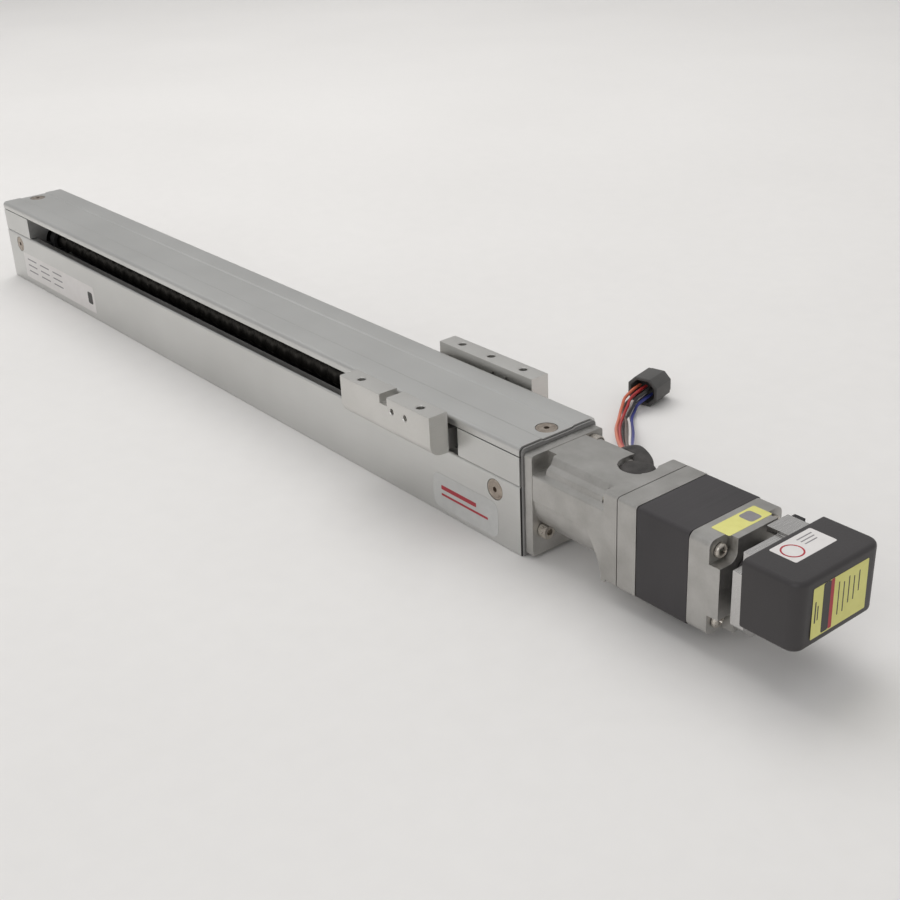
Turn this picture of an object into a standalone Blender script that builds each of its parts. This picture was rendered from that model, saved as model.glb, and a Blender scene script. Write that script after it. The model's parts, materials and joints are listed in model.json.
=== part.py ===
"""Electric ball-screw slide driven by a square stepper motor with a rear encoder.

+X runs from the slide body towards the motor, +Z is up, and the object is mirrored about y = 0.
The origin is on the floor, under the middle of the slide and its motor. All sizes are in metres.
The carriage slides along -X, and the screw turns with the motor shaft about the drive axis.
"""

import math

import bmesh
import bpy
from mathutils import Vector

# Driving dimensions
BODY_LENGTH = 0.5414
BODY_WIDTH = 0.0450
BODY_HEIGHT = 0.0537
DRIVE_LENGTH = 0.1483
MOTOR_SIZE = 0.0420
AXIS_Z = 0.0301
TABLE_LENGTH = 0.0680
TABLE_TOP = 0.0567
TABLE_INNER_Y = 0.0253
TABLE_OUTER_Y = 0.0357
TRAVEL = 0.3850
GAP = 0.0003

# Stations along X: the body's motor end and far end, and the drive's stages
END_X = (BODY_LENGTH - DRIVE_LENGTH) / 2
FAR_X = END_X - BODY_LENGTH
SLOT_END_X = END_X - 0.0415
SLOT_FAR_X = FAR_X + 0.0379
FLANGE_X = END_X + 0.0568
STATOR_X = END_X + 0.0673
BRACKET_X = END_X + 0.0945
BRACKET_END_X = END_X + 0.1100
PLATE_X = END_X + 0.1160
PLATE_END = PLATE_X + 0.0062
CAP_X = PLATE_END + 0.0004
DRIVE_END_X = END_X + DRIVE_LENGTH
HOUSING_X = END_X + 0.0016
HOUSING_FLANGE_END = END_X + 0.0063
HOUSING_FLARE_X = END_X + 0.0440
HOUSING_PLATE_X = END_X + 0.0490
MOTOR_SCREW_SEAT = END_X + 0.1046
FIXED_BEARING_X = END_X - 0.0281
FIXED_BEARING_END = FIXED_BEARING_X + 0.0163
SUPPORT_BEARING_X = FAR_X + 0.0160
SUPPORT_BEARING_END = SUPPORT_BEARING_X + 0.0070

# Slide body section
HALF_WIDTH = BODY_WIDTH / 2
WALL = 0.0050
FLOOR_TOP = 0.0045
SEAM_Z = 0.0346
COVER_BOTTOM = 0.0490
COVER_CEILING = 0.0512
EDGE = 0.0008
COVER_CORNER = 0.0022
STRIP_HALF = 0.0095
STRIP_SLOPE = 0.0010
STRIP_Z = BODY_HEIGHT - 0.0005
SIDE_SCREW_Z = 0.0272

# Guide rail and carriage section
RAIL_BASE = FLOOR_TOP + GAP
RAIL_TOP = RAIL_BASE + 0.0080
RAIL_HALF = 0.0060
GUIDE_TOP = 0.0173
CARRIAGE_BASE = GUIDE_TOP + GAP
CARRIAGE_TOP = 0.0410
CARRIAGE_HALF = 0.0155
ARM_BOTTOM = 0.0368
ARM_TOP = 0.0467

# Table block, at rest 3 mm from the slot's motor end
TABLE_X1 = END_X - 0.0445
TABLE_X0 = TABLE_X1 - TABLE_LENGTH
TABLE_MID_X = (TABLE_X0 + TABLE_X1) / 2
CARRIAGE_X0 = TABLE_X0 + 0.0055
CARRIAGE_X1 = TABLE_X1 - 0.0005
NUT_FLANGE_X = CARRIAGE_X0 - GAP
NUT_FLANGE_LENGTH = 0.0040
GUIDE_X0 = TABLE_MID_X - 0.0200
GUIDE_X1 = TABLE_MID_X + 0.0200
ARM_SCREW_Y = 0.0125
ARM_SCREW_X = [TABLE_MID_X - 0.0220, TABLE_MID_X + 0.0220]
GUIDE_SCREW_Y = 0.0123
GUIDE_SCREW_X = [TABLE_MID_X - 0.0100, TABLE_MID_X + 0.0100]
TABLE_HOLE_Y = 0.0309

# Rotating parts
SCREW_R = 0.0060
JOURNAL_R = 0.0050
STUB_R = 0.0040
SHAFT_R = 0.0025
NUT_R = 0.0095
BEARING_R = 0.0130
SUPPORT_R = 0.0110
COUPLING_R = 0.0125
JAW_LENGTH = 0.0050
ROTOR_R = 0.0130
SCREW_START = FAR_X + 0.0145
STUB_END = END_X + 0.0230
HUB_SPLIT = END_X + 0.0280
SHAFT_START = END_X + 0.0330
MAGNET_X = PLATE_X + 0.0012

# Screws
M3_R = 0.0015
M3_HEAD_R = 0.00275
M4_R = 0.0020
M4_HEAD_R = 0.0035
M5_R = 0.0025
M5_SINK_R = 0.00495
M5_SINK_DEPTH = 0.0025
MOTOR_BOLT = 0.0155
HOUSING_BOLT_Y = 0.0150
HOUSING_BOLT_Z = 0.0162
TAP_SHARE = 0.9

# Drive section
BARREL_SIDE = MOTOR_SIZE / 2 - 0.0002
PLATE_CHAMFER = 0.0010
MOTOR_CHAMFER = 0.0018
BRACKET_CORNER = 0.0032
MOTOR_BORE_R = 0.0184
BEARING_SEAT_R = 0.0083
CABLE_NOTCH = (END_X + 0.0420, 0.0060)
CABLE_NOTCH_R = 0.0085

# Motor lead: out of the housing's notch, down behind it and along the floor.
# Each route's x is counted from the body's motor end.
SLEEVE_R = 0.0028
WIRES_R = 0.0028
LEAD_STEP = 0.0060
SLEEVE_ROUTE = [
    (0.0425, 0.0068, 0.0440),
    (0.0418, 0.0095, 0.0480),
    (0.0385, 0.0130, 0.0500),
    (0.0330, 0.0162, 0.0502),
    (0.0265, 0.0195, 0.0490),
    (0.0200, 0.0241, 0.0438),
    (0.0150, 0.0289, 0.0402),
    (0.0105, 0.0332, 0.0372),
]
WIRE_ROUTE = [
    (0.0105, 0.0332, 0.0372),
    (-0.0010, 0.0441, 0.0300),
    (-0.0151, 0.0576, 0.0232),
    (-0.0304, 0.0730, 0.0172),
    (-0.0454, 0.0885, 0.0108),
    (-0.0574, 0.1013, 0.0064),
    (-0.0656, 0.1106, 0.0042),
    (-0.0707, 0.1174, 0.0038),
    (-0.0730, 0.1218, 0.0056),
    (-0.0730, 0.1265, 0.0076),
    (-0.0741, 0.1312, 0.0078),
]
PLUG_LENGTH = 0.0175
PLUG_HALF_WIDTH = 0.0088
PLUG_HEIGHT = 0.0158
PLUG_CUT = 0.0043


# Scene helpers

def clear_scene():
    for old in list(bpy.data.objects):
        bpy.data.objects.remove(old, do_unlink=True)


def material(name, color, roughness, metallic):
    made = bpy.data.materials.new(name)
    made.use_nodes = True
    shader = made.node_tree.nodes["Principled BSDF"]
    shader.inputs["Base Color"].default_value = (*color, 1.0)
    shader.inputs["Roughness"].default_value = roughness
    shader.inputs["Metallic"].default_value = metallic
    made.diffuse_color = (*color, 1.0)
    return made


def axis_empty(name, place):
    empty = bpy.data.objects.new(name, None)
    empty.location = place
    bpy.context.scene.collection.objects.link(empty)
    return empty


def node(name, bm, finish, body, smooth_angle=35):
    """Turn a bmesh drawn in world coordinates into an object under a body's empty."""
    bmesh.ops.recalc_face_normals(bm, faces=bm.faces)
    bmesh.ops.translate(bm, verts=bm.verts, vec=-body.location)
    mesh = bpy.data.meshes.new(name)
    bm.to_mesh(mesh)
    bm.free()
    mesh.materials.append(finish)
    mesh.shade_smooth()
    mesh.set_sharp_from_angle(angle=math.radians(smooth_angle))
    made = bpy.data.objects.new(name, mesh)
    bpy.context.scene.collection.objects.link(made)
    made.parent = body
    return made


def boolean(target, bm, operation):
    """Cut or join a bmesh drawn in world coordinates, kept as a hidden helper object."""
    bmesh.ops.recalc_face_normals(bm, faces=bm.faces)
    bmesh.ops.translate(bm, verts=bm.verts, vec=-target.parent.location)
    label = target.name + "_" + operation.lower() + "_shape"
    mesh = bpy.data.meshes.new(label)
    bm.to_mesh(mesh)
    bm.free()
    helper = bpy.data.objects.new(label, mesh)
    bpy.context.scene.collection.objects.link(helper)
    helper.parent = target.parent
    helper.hide_render = True
    helper.display_type = "WIRE"
    modifier = target.modifiers.new(operation.title(), "BOOLEAN")
    modifier.operation = operation
    modifier.solver = "EXACT"
    modifier.object = helper


# Shape helpers: each adds one closed solid to a bmesh

def loft(bm, rings):
    """Skin equal rings of points and cap both ends."""
    rows = [[bm.verts.new(point) for point in ring] for ring in rings]
    count = len(rows[0])
    for near, far in zip(rows, rows[1:]):
        for i in range(count):
            j = (i + 1) % count
            bm.faces.new((near[i], near[j], far[j], far[i]))
    bm.faces.new(rows[0])
    bm.faces.new(rows[-1])
    return bm


def prism(bm, outline, x0, x1):
    """An outline of (y, z) points run from x0 to x1."""
    return loft(bm, [[(x, y, z) for y, z in outline] for x in (x0, x1)])


def block(bm, low, high):
    outline = [(low[1], low[2]), (high[1], low[2]), (high[1], high[2]), (low[1], high[2])]
    return prism(bm, outline, low[0], high[0])


DIRECTIONS = {
    "X": (Vector((1, 0, 0)), Vector((0, 1, 0)), Vector((0, 0, 1))),
    "Y": (Vector((0, 1, 0)), Vector((0, 0, 1)), Vector((1, 0, 0))),
    "Z": (Vector((0, 0, 1)), Vector((1, 0, 0)), Vector((0, 1, 0))),
}


def turned(bm, profile, origin, axis="X", sides=24, hollow=False):
    """Turn (distance along the axis, radius) points about an axis through origin.

    A hollow profile is a closed loop of points; a solid one is capped at both ends.
    """
    along, across, up = DIRECTIONS[axis]
    start = Vector(origin)
    rows = []
    for distance, radius in profile:
        ring = []
        for i in range(sides):
            angle = 2 * math.pi * i / sides
            arm = across * math.cos(angle) + up * math.sin(angle)
            ring.append(bm.verts.new(start + along * distance + arm * radius))
        rows.append(ring)
    pairs = list(zip(rows, rows[1:]))
    if hollow:
        pairs.append((rows[-1], rows[0]))
    for near, far in pairs:
        for i in range(sides):
            j = (i + 1) % sides
            bm.faces.new((near[i], near[j], far[j], far[i]))
    if not hollow:
        bm.faces.new(rows[0])
        bm.faces.new(rows[-1])
    return bm


def rod(bm, origin, length, radius, axis="X", sides=16):
    return turned(bm, [(0, radius), (length, radius)], origin, axis, sides)


def ring(bm, x0, x1, outer, inner, sides=20):
    """A plain ring about the drive axis."""
    profile = [(0, outer), (x1 - x0, outer), (x1 - x0, inner), (0, inner)]
    return turned(bm, profile, (x0, 0, AXIS_Z), "X", sides, hollow=True)


def cap_screw(bm, origin, axis, length, head_length, radius, head_radius, sides=10):
    """A plain cap screw: origin is under its head, and a negative length runs against the axis."""
    sign = 1 if length > 0 else -1
    profile = [
        (-sign * head_length, head_radius),
        (0, head_radius),
        (0, radius),
        (length, radius),
    ]
    return turned(bm, profile, origin, axis, sides)


def mirrored(half):
    """Close an outline from its right half, listed from the top down to the bottom."""
    return half + [(-y, z) for y, z in reversed(half)]


def arc(centre, radius, start, end, steps):
    points = []
    for i in range(steps + 1):
        angle = math.radians(start + (end - start) * i / steps)
        points.append((centre[0] + radius * math.cos(angle), centre[1] + radius * math.sin(angle)))
    return points


def square_outline(size, chamfer):
    """A square about the drive axis with its corners cut."""
    half = size / 2
    inner = half - chamfer
    points = [(inner, half), (half, inner), (half, -inner), (inner, -half)]
    return [(y, AXIS_Z + z) for y, z in mirrored(points)]


# Slide body

def rail_screw_stations():
    first = FAR_X + 0.0700
    return [first + 0.0600 * i for i in range(7)]


def side_screw_stations():
    return [END_X - 0.0166, FAR_X + 0.0184]


def cover_screw_stations():
    return [END_X - 0.0070, FAR_X + 0.0074]


def make_base_extrusion(body, finish):
    h = HALF_WIDTH
    outline = [
        (-h + EDGE, 0), (h - EDGE, 0), (h, EDGE), (h, SEAM_Z), (h - WALL, SEAM_Z),
        (h - WALL, FLOOR_TOP), (-h + WALL, FLOOR_TOP), (-h + WALL, SEAM_Z), (-h, SEAM_Z), (-h, EDGE),
    ]
    made = node("base_extrusion", prism(bmesh.new(), outline, FAR_X, END_X), finish, body)
    cuts = bmesh.new()
    for x in rail_screw_stations():
        rod(cuts, (x, 0, 0.0010), FLOOR_TOP, M3_R + GAP, "Z", 8)
    for x in side_screw_stations():
        for side in (-1, 1):
            countersink(cuts, x, side, GAP)
    mounting = [FAR_X + 0.0600 + 0.2000 * i for i in range(3)]
    for x in mounting:
        for y in (-0.0120, 0.0120):
            rod(cuts, (x, y, -0.0010), FLOOR_TOP + 0.0020, 0.0021, "Z", 8)
    boolean(made, cuts, "DIFFERENCE")


def countersink_profile(face, tip, side, clearance):
    """A flush countersunk screw's profile, or its seat's when a clearance is given."""
    reach = 0.0002 if clearance else 0.0
    head = M5_SINK_R + clearance
    shank = M5_R + clearance
    return [
        (side * (face + reach), head),
        (side * (face - 0.0004), head),
        (side * (face - M5_SINK_DEPTH - clearance), shank),
        (side * (tip - clearance), shank),
    ]


def countersink(bm, x, side, clearance):
    profile = countersink_profile(HALF_WIDTH, HALF_WIDTH - 0.0080, side, clearance)
    return turned(bm, profile, (x, 0, SIDE_SCREW_Z), "Y", 16)


def cover_countersink(bm, x, clearance):
    profile = countersink_profile(STRIP_Z, 0.0475, 1, clearance)
    return turned(bm, profile, (x, 0, 0), "Z", 16)


def socket_cut(bm, x, y, z, axis, sign):
    """A hexagonal socket sunk 2 mm into a countersunk head."""
    start = -0.0010 if sign > 0 else 0.0010
    profile = [(start, 0.0014), (sign * 0.0020, 0.0014)]
    return turned(bm, profile, (x, y, z), axis, 6)


def make_cover_screws(body, finish):
    for name, x in zip(("cover_screw_motor_end", "cover_screw_far_end"), cover_screw_stations()):
        made = node(name, cover_countersink(bmesh.new(), x, 0), finish, body)
        boolean(made, socket_cut(bmesh.new(), x, 0, STRIP_Z, "Z", -1), "DIFFERENCE")


def make_side_screws(body, finish):
    for place, x in zip(("motor_end", "far_end"), side_screw_stations()):
        for label, side in (("front", -1), ("rear", 1)):
            name = "side_screw_" + place + "_" + label
            made = node(name, countersink(bmesh.new(), x, side, 0), finish, body)
            socket = socket_cut(bmesh.new(), x, side * HALF_WIDTH, SIDE_SCREW_Z, "Y", -side)
            boolean(made, socket, "DIFFERENCE")


def cover_outline():
    """A hat section with a shallow sunken strip along its middle."""
    top = [(STRIP_HALF - STRIP_SLOPE, STRIP_Z), (STRIP_HALF, BODY_HEIGHT)]
    shoulder = arc((HALF_WIDTH - COVER_CORNER, BODY_HEIGHT - COVER_CORNER), COVER_CORNER, 90, 0, 4)
    lip = [
        (HALF_WIDTH, COVER_BOTTOM),
        (HALF_WIDTH - 0.0020, COVER_BOTTOM),
        (HALF_WIDTH - 0.0020, COVER_CEILING),
    ]
    return mirrored(top + shoulder + lip)


def make_top_cover(body, finish):
    made = node("top_cover", prism(bmesh.new(), cover_outline(), FAR_X, END_X), finish, body)
    cuts = bmesh.new()
    for x in cover_screw_stations():
        cover_countersink(cuts, x, GAP)
    boolean(made, cuts, "DIFFERENCE")


def end_block_outline():
    foot = HALF_WIDTH - WALL - GAP
    crown = HALF_WIDTH - 0.0020 - GAP
    half = [
        (crown, COVER_CEILING - GAP),
        (crown, COVER_BOTTOM - GAP),
        (HALF_WIDTH, COVER_BOTTOM - GAP),
        (HALF_WIDTH, SEAM_Z + GAP),
        (foot, SEAM_Z + GAP),
        (foot, FLOOR_TOP + GAP),
    ]
    return mirrored(half)


def housing_bolts():
    """The two cap screws stand on one diagonal of the coupling housing's end flange."""
    return [
        (-HOUSING_BOLT_Y, AXIS_Z - HOUSING_BOLT_Z),
        (HOUSING_BOLT_Y, AXIS_Z + HOUSING_BOLT_Z),
    ]


def make_motor_end_block(body, finish):
    bm = prism(bmesh.new(), end_block_outline(), SLOT_END_X, END_X)
    made = node("motor_end_block", bm, finish, body)
    cuts = bmesh.new()
    seat_x = END_X - 0.0285
    bore = [
        (SLOT_END_X - 0.0010, 0.0080),
        (seat_x, 0.0080),
        (seat_x, BEARING_R + GAP),
        (END_X + 0.0010, BEARING_R + GAP),
    ]
    turned(cuts, bore, (0, 0, AXIS_Z), "X", 20)
    for y, z in housing_bolts():
        rod(cuts, (END_X - 0.0110, y, z), 0.0120, M4_R + GAP, "X", 8)
    boolean(made, cuts, "DIFFERENCE")
    cut_screw_seats(made, side_screw_stations()[0], cover_screw_stations()[0])


def cut_screw_seats(made, side_x, top_x):
    """Tapped holes for the side screws and the cover screw, in an end block."""
    cuts = bmesh.new()
    for side in (-1, 1):
        start = side * 0.0180
        reach = side * -0.0040
        turned(cuts, [(0, M5_R + GAP), (reach, M5_R + GAP)], (side_x, start, SIDE_SCREW_Z), "Y", 8)
    cover_countersink(cuts, top_x, GAP)
    boolean(made, cuts, "DIFFERENCE")


def make_far_end_block(body, finish):
    bm = prism(bmesh.new(), end_block_outline(), FAR_X, SLOT_FAR_X)
    made = node("far_end_block", bm, finish, body)
    cuts = bmesh.new()
    rod(cuts, (FAR_X + 0.0125, 0, AXIS_Z), 0.0400, SUPPORT_R + GAP, "X", 20)
    boolean(made, cuts, "DIFFERENCE")
    cut_screw_seats(made, side_screw_stations()[1], cover_screw_stations()[1])


def make_end_gasket(body, finish):
    inset = 0.0008
    half = [(STRIP_HALF - STRIP_SLOPE, STRIP_Z - inset), (STRIP_HALF, BODY_HEIGHT - inset)]
    centre = (HALF_WIDTH - COVER_CORNER - inset, BODY_HEIGHT - COVER_CORNER - inset)
    half += arc(centre, COVER_CORNER, 90, 0, 4)
    half.append((HALF_WIDTH - inset, 0.0006))
    bm = prism(bmesh.new(), mirrored(half), END_X + GAP, END_X + 0.0013)
    made = node("end_gasket", bm, finish, body)
    cuts = bmesh.new()
    rod(cuts, (END_X - 0.0010, 0, AXIS_Z), 0.0040, BEARING_R + GAP, "X", 20)
    for y, z in housing_bolts():
        rod(cuts, (END_X - 0.0010, y, z), 0.0040, M4_R + GAP, "X", 8)
    boolean(made, cuts, "DIFFERENCE")


def make_guide_rail(body, finish):
    groove = (RAIL_BASE + RAIL_TOP) / 2 + 0.0008
    half = [
        (RAIL_HALF - 0.0005, RAIL_TOP),
        (RAIL_HALF, RAIL_TOP - 0.0005),
        (RAIL_HALF, groove + 0.0013),
        (RAIL_HALF - 0.0011, groove),
        (RAIL_HALF, groove - 0.0013),
        (RAIL_HALF, RAIL_BASE),
    ]
    bm = prism(bmesh.new(), mirrored(half), FAR_X + 0.0400, END_X - 0.0440)
    made = node("guide_rail", bm, finish, body)
    cuts = bmesh.new()
    for x in rail_screw_stations():
        seat = [
            (-0.0010, M3_R + GAP),
            (0.0042, M3_R + GAP),
            (0.0042, M3_HEAD_R + GAP),
            (0.0090, M3_HEAD_R + GAP),
        ]
        turned(cuts, seat, (x, 0, RAIL_BASE), "Z", 8)
    boolean(made, cuts, "DIFFERENCE")


def make_stop_bumpers(body, finish):
    """Rubber rings round the screw's ends, where the carriage meets the end blocks."""
    bm = ring(bmesh.new(), SLOT_END_X - 0.0027, SLOT_END_X - GAP, 0.0120, 0.0078)
    node("stop_bumper_motor_end", bm, finish, body)
    stop_x = NUT_FLANGE_X - NUT_FLANGE_LENGTH - 0.0002 - TRAVEL
    bm = ring(bmesh.new(), SLOT_FAR_X + GAP, stop_x, 0.0090, 0.0068)
    node("stop_bumper_far_end", bm, finish, body)


def make_outer_rings(body, finish):
    bm = ring(bmesh.new(), FIXED_BEARING_X, FIXED_BEARING_END, BEARING_R, 0.0105)
    node("fixed_bearing_outer", bm, finish, body)
    bm = ring(bmesh.new(), SUPPORT_BEARING_X, SUPPORT_BEARING_END, SUPPORT_R, 0.0090)
    node("support_bearing_outer", bm, finish, body)


def make_bearing_retainer(body, finish):
    x0 = FIXED_BEARING_END + GAP
    bm = ring(bmesh.new(), x0, x0 + 0.0060, BEARING_R, 0.0092)
    node("bearing_retainer", bm, finish, body)


# Coupling housing and motor

def housing_section(flare):
    """The cast barrel's outline: stepped bolt channels above, a round belly below."""
    half = [
        (0.0104, 0.0508),
        (0.0122, 0.0502),
        (0.0146, 0.0466),
        (0.0168, 0.0453),
        (0.0176, 0.0430),
        (BARREL_SIDE, 0.0416),
        (BARREL_SIDE, 0.0305),
    ]
    belly = BARREL_SIDE - 0.0003
    for y, z in arc((0, 0), belly, -12, -86, 6):
        square = BARREL_SIDE / max(abs(y), abs(z))
        scale = 1 + (square - 1) * flare
        half.append((y * scale, AXIS_Z + z * scale))
    return mirrored(half)


def make_coupling_housing(body, finish):
    sections = [
        (HOUSING_FLANGE_END - 0.0010, 0.0),
        (HOUSING_FLARE_X, 0.0),
        (HOUSING_PLATE_X - 0.0014, 0.25),
        (HOUSING_PLATE_X + 0.0012, 0.90),
    ]
    barrel = [[(x, y, z) for y, z in housing_section(flare)] for x, flare in sections]
    bm = loft(bmesh.new(), barrel)
    bmesh.ops.triangulate(bm, faces=bm.faces)
    made = node("coupling_housing", bm, finish, body, 25)
    half = MOTOR_SIZE / 2
    plates = bmesh.new()
    low = (HOUSING_X, -half, 0.0020)
    high = (HOUSING_FLANGE_END, half, AXIS_Z + half)
    block(plates, low, high)
    plate = square_outline(MOTOR_SIZE, PLATE_CHAMFER)
    prism(plates, plate, HOUSING_PLATE_X, FLANGE_X - GAP)
    boolean(made, plates, "UNION")
    cuts = bmesh.new()
    bore = [
        (HOUSING_X - 0.0010, 0.0140),
        (HOUSING_PLATE_X, 0.0140),
        (HOUSING_PLATE_X, 0.0113),
        (FLANGE_X + 0.0010, 0.0113),
    ]
    turned(cuts, bore, (0, 0, AXIS_Z), "X", 20)
    boolean(made, cuts, "DIFFERENCE")
    cuts = bmesh.new()
    for y, z in housing_bolts():
        seat = [
            (HOUSING_X - 0.0010, M4_R + GAP),
            (HOUSING_FLANGE_END, M4_R + GAP),
            (HOUSING_FLANGE_END, M4_HEAD_R + 0.0006),
            (HOUSING_FLANGE_END + 0.0080, M4_HEAD_R + 0.0006),
        ]
        turned(cuts, seat, (0, y, z), "X", 12)
    for y, z in motor_bolts():
        seat = [
            (HOUSING_PLATE_X - 0.0060, M3_HEAD_R + 0.0005),
            (HOUSING_PLATE_X, M3_HEAD_R + 0.0005),
            (HOUSING_PLATE_X, M3_R + GAP),
            (FLANGE_X + 0.0010, M3_R + GAP),
        ]
        turned(cuts, seat, (0, y, z), "X", 10)
    boolean(made, cuts, "DIFFERENCE")
    cuts = bmesh.new()
    turned(cuts, [(0.0340, CABLE_NOTCH_R), (0.0600, CABLE_NOTCH_R)], (*CABLE_NOTCH, 0), "Z", 16)
    boolean(made, cuts, "DIFFERENCE")
    cuts = bmesh.new()
    low = (CABLE_NOTCH[0] - 0.0084, CABLE_NOTCH[1], 0.0345)
    block(cuts, low, (CABLE_NOTCH[0] + 0.0067, 0.0300, 0.0600))
    boolean(made, cuts, "DIFFERENCE")


def motor_bolts():
    return [(y * MOTOR_BOLT, AXIS_Z + z * MOTOR_BOLT) for y in (-1, 1) for z in (-1, 1)]


def make_housing_screws(body, finish):
    for label, (y, z) in zip(("lower", "upper"), housing_bolts()):
        origin = (HOUSING_FLANGE_END + GAP, y, z)
        bm = cap_screw(bmesh.new(), origin, "X", -0.0160, 0.0040, M4_R, M4_HEAD_R, 14)
        node("housing_screw_" + label, bm, finish, body)


def make_motor_mount_screws(body, finish):
    for number, (y, z) in enumerate(motor_bolts(), 1):
        origin = (HOUSING_PLATE_X - GAP, y, z)
        bm = cap_screw(bmesh.new(), origin, "X", 0.0105, 0.0030, M3_R, M3_HEAD_R)
        node(f"motor_mount_screw_{number}", bm, finish, body)


def make_motor_front_flange(body, finish):
    bm = prism(bmesh.new(), square_outline(MOTOR_SIZE, MOTOR_CHAMFER), FLANGE_X, STATOR_X - GAP)
    made = node("motor_front_flange", bm, finish, body)
    boss = rod(bmesh.new(), (FLANGE_X - 0.0020, 0, AXIS_Z), 0.0040, 0.0110, "X", 20)
    boolean(made, boss, "UNION")
    cuts = bmesh.new()
    bore = [
        (FLANGE_X - 0.0030, 0.0045),
        (FLANGE_X + 0.0015, 0.0045),
        (FLANGE_X + 0.0015, BEARING_SEAT_R),
        (FLANGE_X + 0.0068, BEARING_SEAT_R),
        (FLANGE_X + 0.0068, 0.0140),
        (STATOR_X + 0.0010, 0.0140),
    ]
    turned(cuts, bore, (0, 0, AXIS_Z), "X", 20)
    for y, z in motor_bolts():
        rod(cuts, (FLANGE_X - 0.0010, y, z), 0.0200, M3_R + GAP, "X", 8)
    boolean(made, cuts, "DIFFERENCE")


def motor_bearing(name, x0, body, finish):
    bm = ring(bmesh.new(), x0, x0 + 0.0048, BEARING_SEAT_R - GAP, SHAFT_R + GAP, 16)
    node(name, bm, finish, body)


def make_stator(body, steel, copper):
    bm = prism(bmesh.new(), square_outline(MOTOR_SIZE, MOTOR_CHAMFER), STATOR_X, BRACKET_X - GAP)
    made = node("stator_stack", bm, steel, body)
    cuts = bmesh.new()
    rod(cuts, (STATOR_X - 0.0010, 0, AXIS_Z), 0.0300, MOTOR_BORE_R, "X", 20)
    for y, z in motor_bolts():
        rod(cuts, (STATOR_X - 0.0010, y, z), 0.0300, M3_R + GAP, "X", 8)
    boolean(made, cuts, "DIFFERENCE")
    make_winding(body, copper)


def make_winding(body, finish):
    """Eight coil packs on one ring, inside the stack."""
    bm = ring(bmesh.new(), STATOR_X + 0.0009, BRACKET_X - 0.0012, 0.0180, 0.0160)
    made = node("stator_winding", bm, finish, body)
    packs = bmesh.new()
    span = 15
    for i in range(8):
        middle = 45 * i
        outer = arc((0, AXIS_Z), 0.0170, middle - span, middle + span, 2)
        inner = arc((0, AXIS_Z), 0.0138, middle + span, middle - span, 2)
        prism(packs, outer + inner, STATOR_X + 0.0005, BRACKET_X - 0.0008)
    boolean(made, packs, "UNION")


def make_rear_bracket(body, finish):
    middle = MOTOR_SIZE / 2 - BRACKET_CORNER
    points = arc((middle, middle), BRACKET_CORNER, 90, 0, 5)
    points += arc((middle, -middle), BRACKET_CORNER, 0, -90, 5)
    outline = [(y, AXIS_Z + z) for y, z in mirrored(points)]
    bm = prism(bmesh.new(), outline, BRACKET_X, BRACKET_END_X)
    made = node("rear_bracket", bm, finish, body)
    cuts = bmesh.new()
    bore = [
        (BRACKET_X - 0.0010, MOTOR_BORE_R),
        (BRACKET_X + 0.0095, MOTOR_BORE_R),
        (BRACKET_X + 0.0095, BEARING_SEAT_R),
        (BRACKET_END_X + 0.0010, BEARING_SEAT_R),
    ]
    turned(cuts, bore, (0, 0, AXIS_Z), "X", 20)
    for y, z in motor_bolts():
        rod(cuts, (BRACKET_X - 0.0010, y, z), 0.0200, M3_R + GAP, "X", 12)
    boolean(made, cuts, "DIFFERENCE")
    for side in (-1, 1):
        pockets = bmesh.new()
        for rise in (-1, 1):
            prism(pockets, corner_pocket(side, rise), MOTOR_SCREW_SEAT, BRACKET_END_X + 0.0010)
        boolean(made, pockets, "DIFFERENCE")


def corner_pocket(side, rise):
    """A round-bottomed notch about one motor screw, open to its corner."""
    reach = 0.0042
    far = MOTOR_SIZE
    points = [(MOTOR_BOLT - reach, far), (far, far), (far, MOTOR_BOLT - reach)]
    points += arc((MOTOR_BOLT, MOTOR_BOLT), reach, 270, 180, 5)
    return [(side * y, AXIS_Z + rise * z) for y, z in points]


def make_motor_screws(body, finish):
    """Four long pan-head screws clamp the rear bracket, the stack and the front flange."""
    for number, (y, z) in enumerate(motor_bolts(), 1):
        profile = [
            (STATOR_X - 0.0035 - MOTOR_SCREW_SEAT, M3_R),
            (GAP, M3_R),
            (GAP, 0.0031),
            (0.0014, 0.0029),
            (0.0021, 0.0020),
            (0.0023, 0.0009),
        ]
        bm = turned(bmesh.new(), profile, (MOTOR_SCREW_SEAT, y, z), "X", 10)
        node(f"motor_screw_{number}", bm, finish, body)


def make_encoder_parts(body, finishes):
    make_encoder_spacer(body, finishes["cover_black"])
    make_encoder_bracket(body, finishes["bracket_steel"])
    make_encoder_board(body, finishes["board_green"])
    make_encoder_cover(body, finishes["cover_black"])
    low = (BRACKET_END_X + 0.0004, 0.0185, AXIS_Z + 0.0120)
    high = (PLATE_X - 0.0006, 0.0215, AXIS_Z + 0.0190)
    node("encoder_cable_grommet", block(bmesh.new(), low, high), finishes["rubber_black"], body)


def make_encoder_spacer(body, finish):
    bm = ring(bmesh.new(), BRACKET_END_X + GAP, PLATE_X - GAP, 0.0140, 0.0115, 24)
    node("encoder_spacer", bm, finish, body)


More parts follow.
